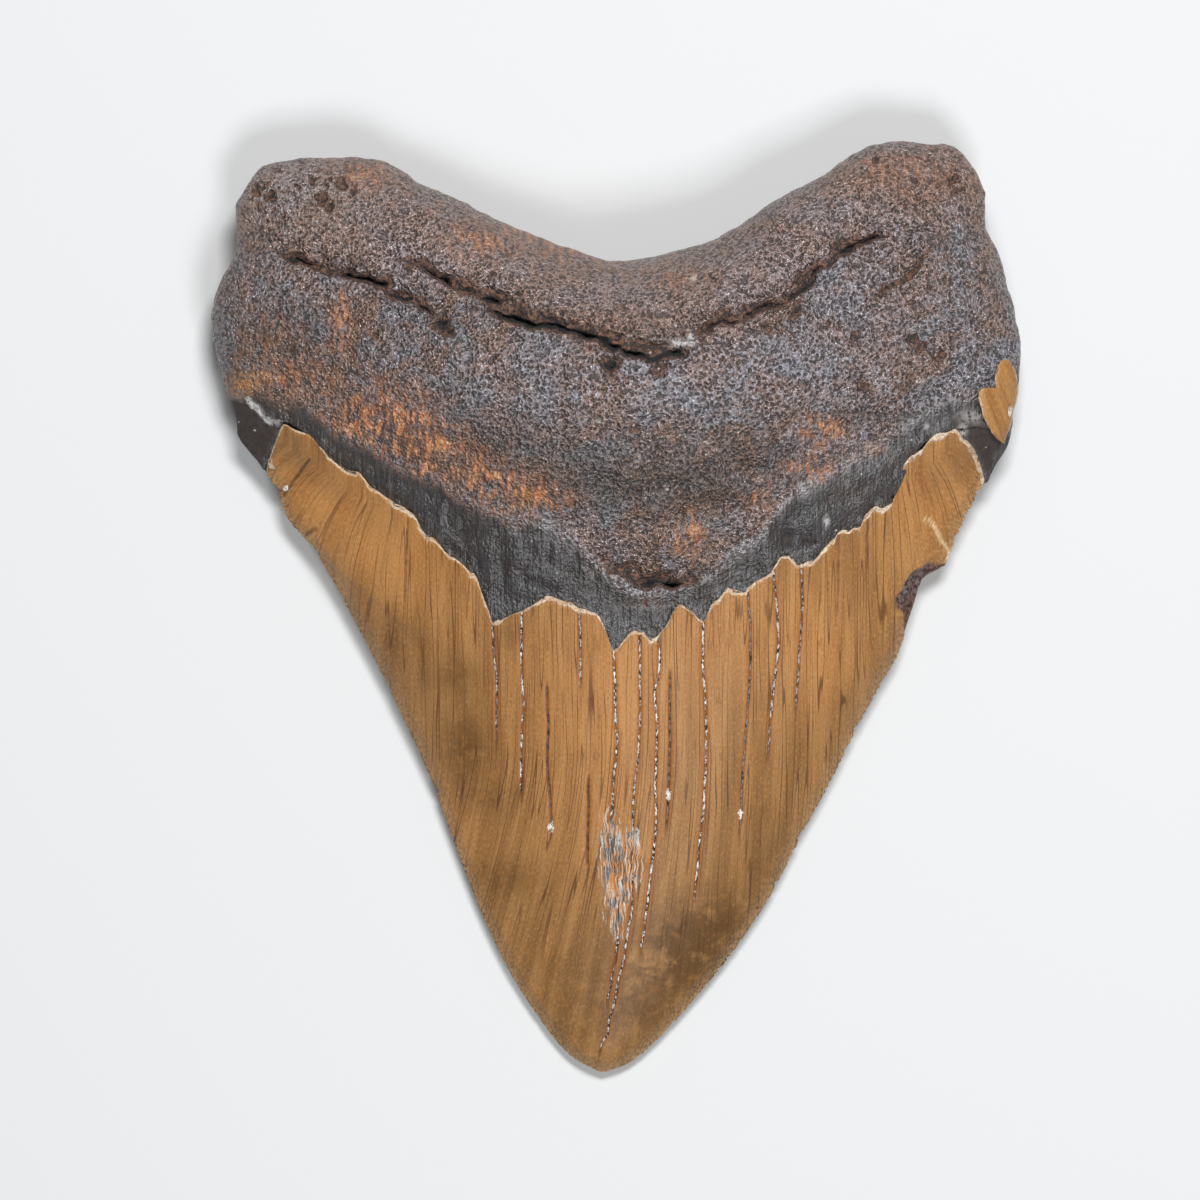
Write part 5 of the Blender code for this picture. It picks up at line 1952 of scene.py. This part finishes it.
# ---- the studio
@dataclass(frozen=True)
class Studio:
    """Pale floor, soft lights and the camera, which looks straight down on the tooth."""

    floor_half: float = 3.0
    camera_at: Triple = (-0.0023, 0.00107, 1.60)
    lens: float = 334.4
    key_at: Triple = (0.10, 0.50, 0.95)
    key_size: tuple[float, float] = (0.34, 0.20)
    key_power: float = 11.0
    fill_at: Triple = (0.22, -0.50, 0.90)
    fill_size: tuple[float, float] = (0.36, 0.28)
    fill_power: float = 6.0
    world_level: float = 0.12

    def floor(self) -> None:
        """Flat pale floor under the tooth."""
        half = self.floor_half
        mesh = bpy.data.meshes.new("studio_floor")
        corners = [(-half, -half, 0), (half, -half, 0), (half, half, 0), (-half, half, 0)]
        mesh.from_pydata(corners, [], [(0, 1, 2, 3)])
        floor = bpy.data.objects.new("studio_floor", mesh)
        material = bpy.data.materials.new("studio_floor")
        material.use_nodes = True
        shader = material.node_tree.nodes["Principled BSDF"]
        shader.inputs["Base Color"].default_value = tone(214, 212, 209)
        shader.inputs["Roughness"].default_value = 0.85
        mesh.materials.append(material)
        bpy.context.scene.collection.objects.link(floor)

    @staticmethod
    def lamp(name: str, place: Triple, power: float, size: tuple[float, float], colour: Triple) -> None:
        """Soft box that faces the tooth.

        Args:
            name: The light's name.
            place: Where it stands.
            power: Its power in watts.
            size: Its width and height.
            colour: Its colour.
        """
        light = bpy.data.lights.new(name, "AREA")
        light.shape, light.size, light.size_y = "RECTANGLE", *size
        light.energy, light.color = power, colour
        lamp = bpy.data.objects.new(name, light)
        lamp.location = place
        lamp.rotation_euler = (-Vector(place)).to_track_quat("-Z", "Y").to_euler()
        bpy.context.scene.collection.objects.link(lamp)

    def build(self) -> None:
        """Put up the floor, the lights, the pale surroundings and the camera."""
        scene = bpy.context.scene
        self.floor()
        self.lamp("key_light", self.key_at, self.key_power, self.key_size, (0.93, 0.96, 1.0))
        self.lamp("fill_light", self.fill_at, self.fill_power, self.fill_size, (0.90, 0.95, 1.0))
        world = bpy.data.worlds.new("studio")
        world.use_nodes = True
        background = world.node_tree.nodes["Background"]
        background.inputs["Color"].default_value = (0.96, 0.98, 1.0, 1.0)
        background.inputs["Strength"].default_value = self.world_level
        scene.world = world
        scene.view_settings.view_transform = "Standard"
        camera = bpy.data.cameras.new("camera")
        camera.lens, camera.clip_start = self.lens, 0.01
        eye = bpy.data.objects.new("camera", camera)
        eye.location = self.camera_at
        scene.collection.objects.link(eye)
        scene.camera = eye


# ---- putting it together
class Slot(Enum):
    """The record's material slots."""

    ROOT = "root"
    ENAMEL = "enamel"


def main() -> None:
    """Build the tooth's pieces, dress them and put up the studio."""
    logging.basicConfig(level=logging.INFO, format="%(message)s")
    form, groups = ToothForm(), EffectGroups()
    root, enamel = RootFinish().make(groups), EnamelFinish().make(groups)
    pieces = (("root_body", RootBody(form), Slot.ROOT, root),
              ("enamel_crown", EnamelCrown(form), Slot.ENAMEL, enamel),
              ("shoulder_flake", ShoulderFlake(form), Slot.ENAMEL, enamel))
    drawn = [piece.build() for _, piece, _, _ in pieces]
    points = np.concatenate([sheet.points.reshape(-1, 3) for pair in drawn for sheet in pair])
    placement = Placement(points.min(axis=0), points.max(axis=0))
    for (name, _, slot, material), pair in zip(pieces, drawn):
        thing = closed_object(name, pair, placement)
        thing.data.materials.append(material)
        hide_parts("tooth")
        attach(thing, "root")
        LOG.info("%s: %d faces, slot %s", name, len(thing.data.polygons), slot.value)
    Studio().build()


if __name__ == "__main__":
    main()
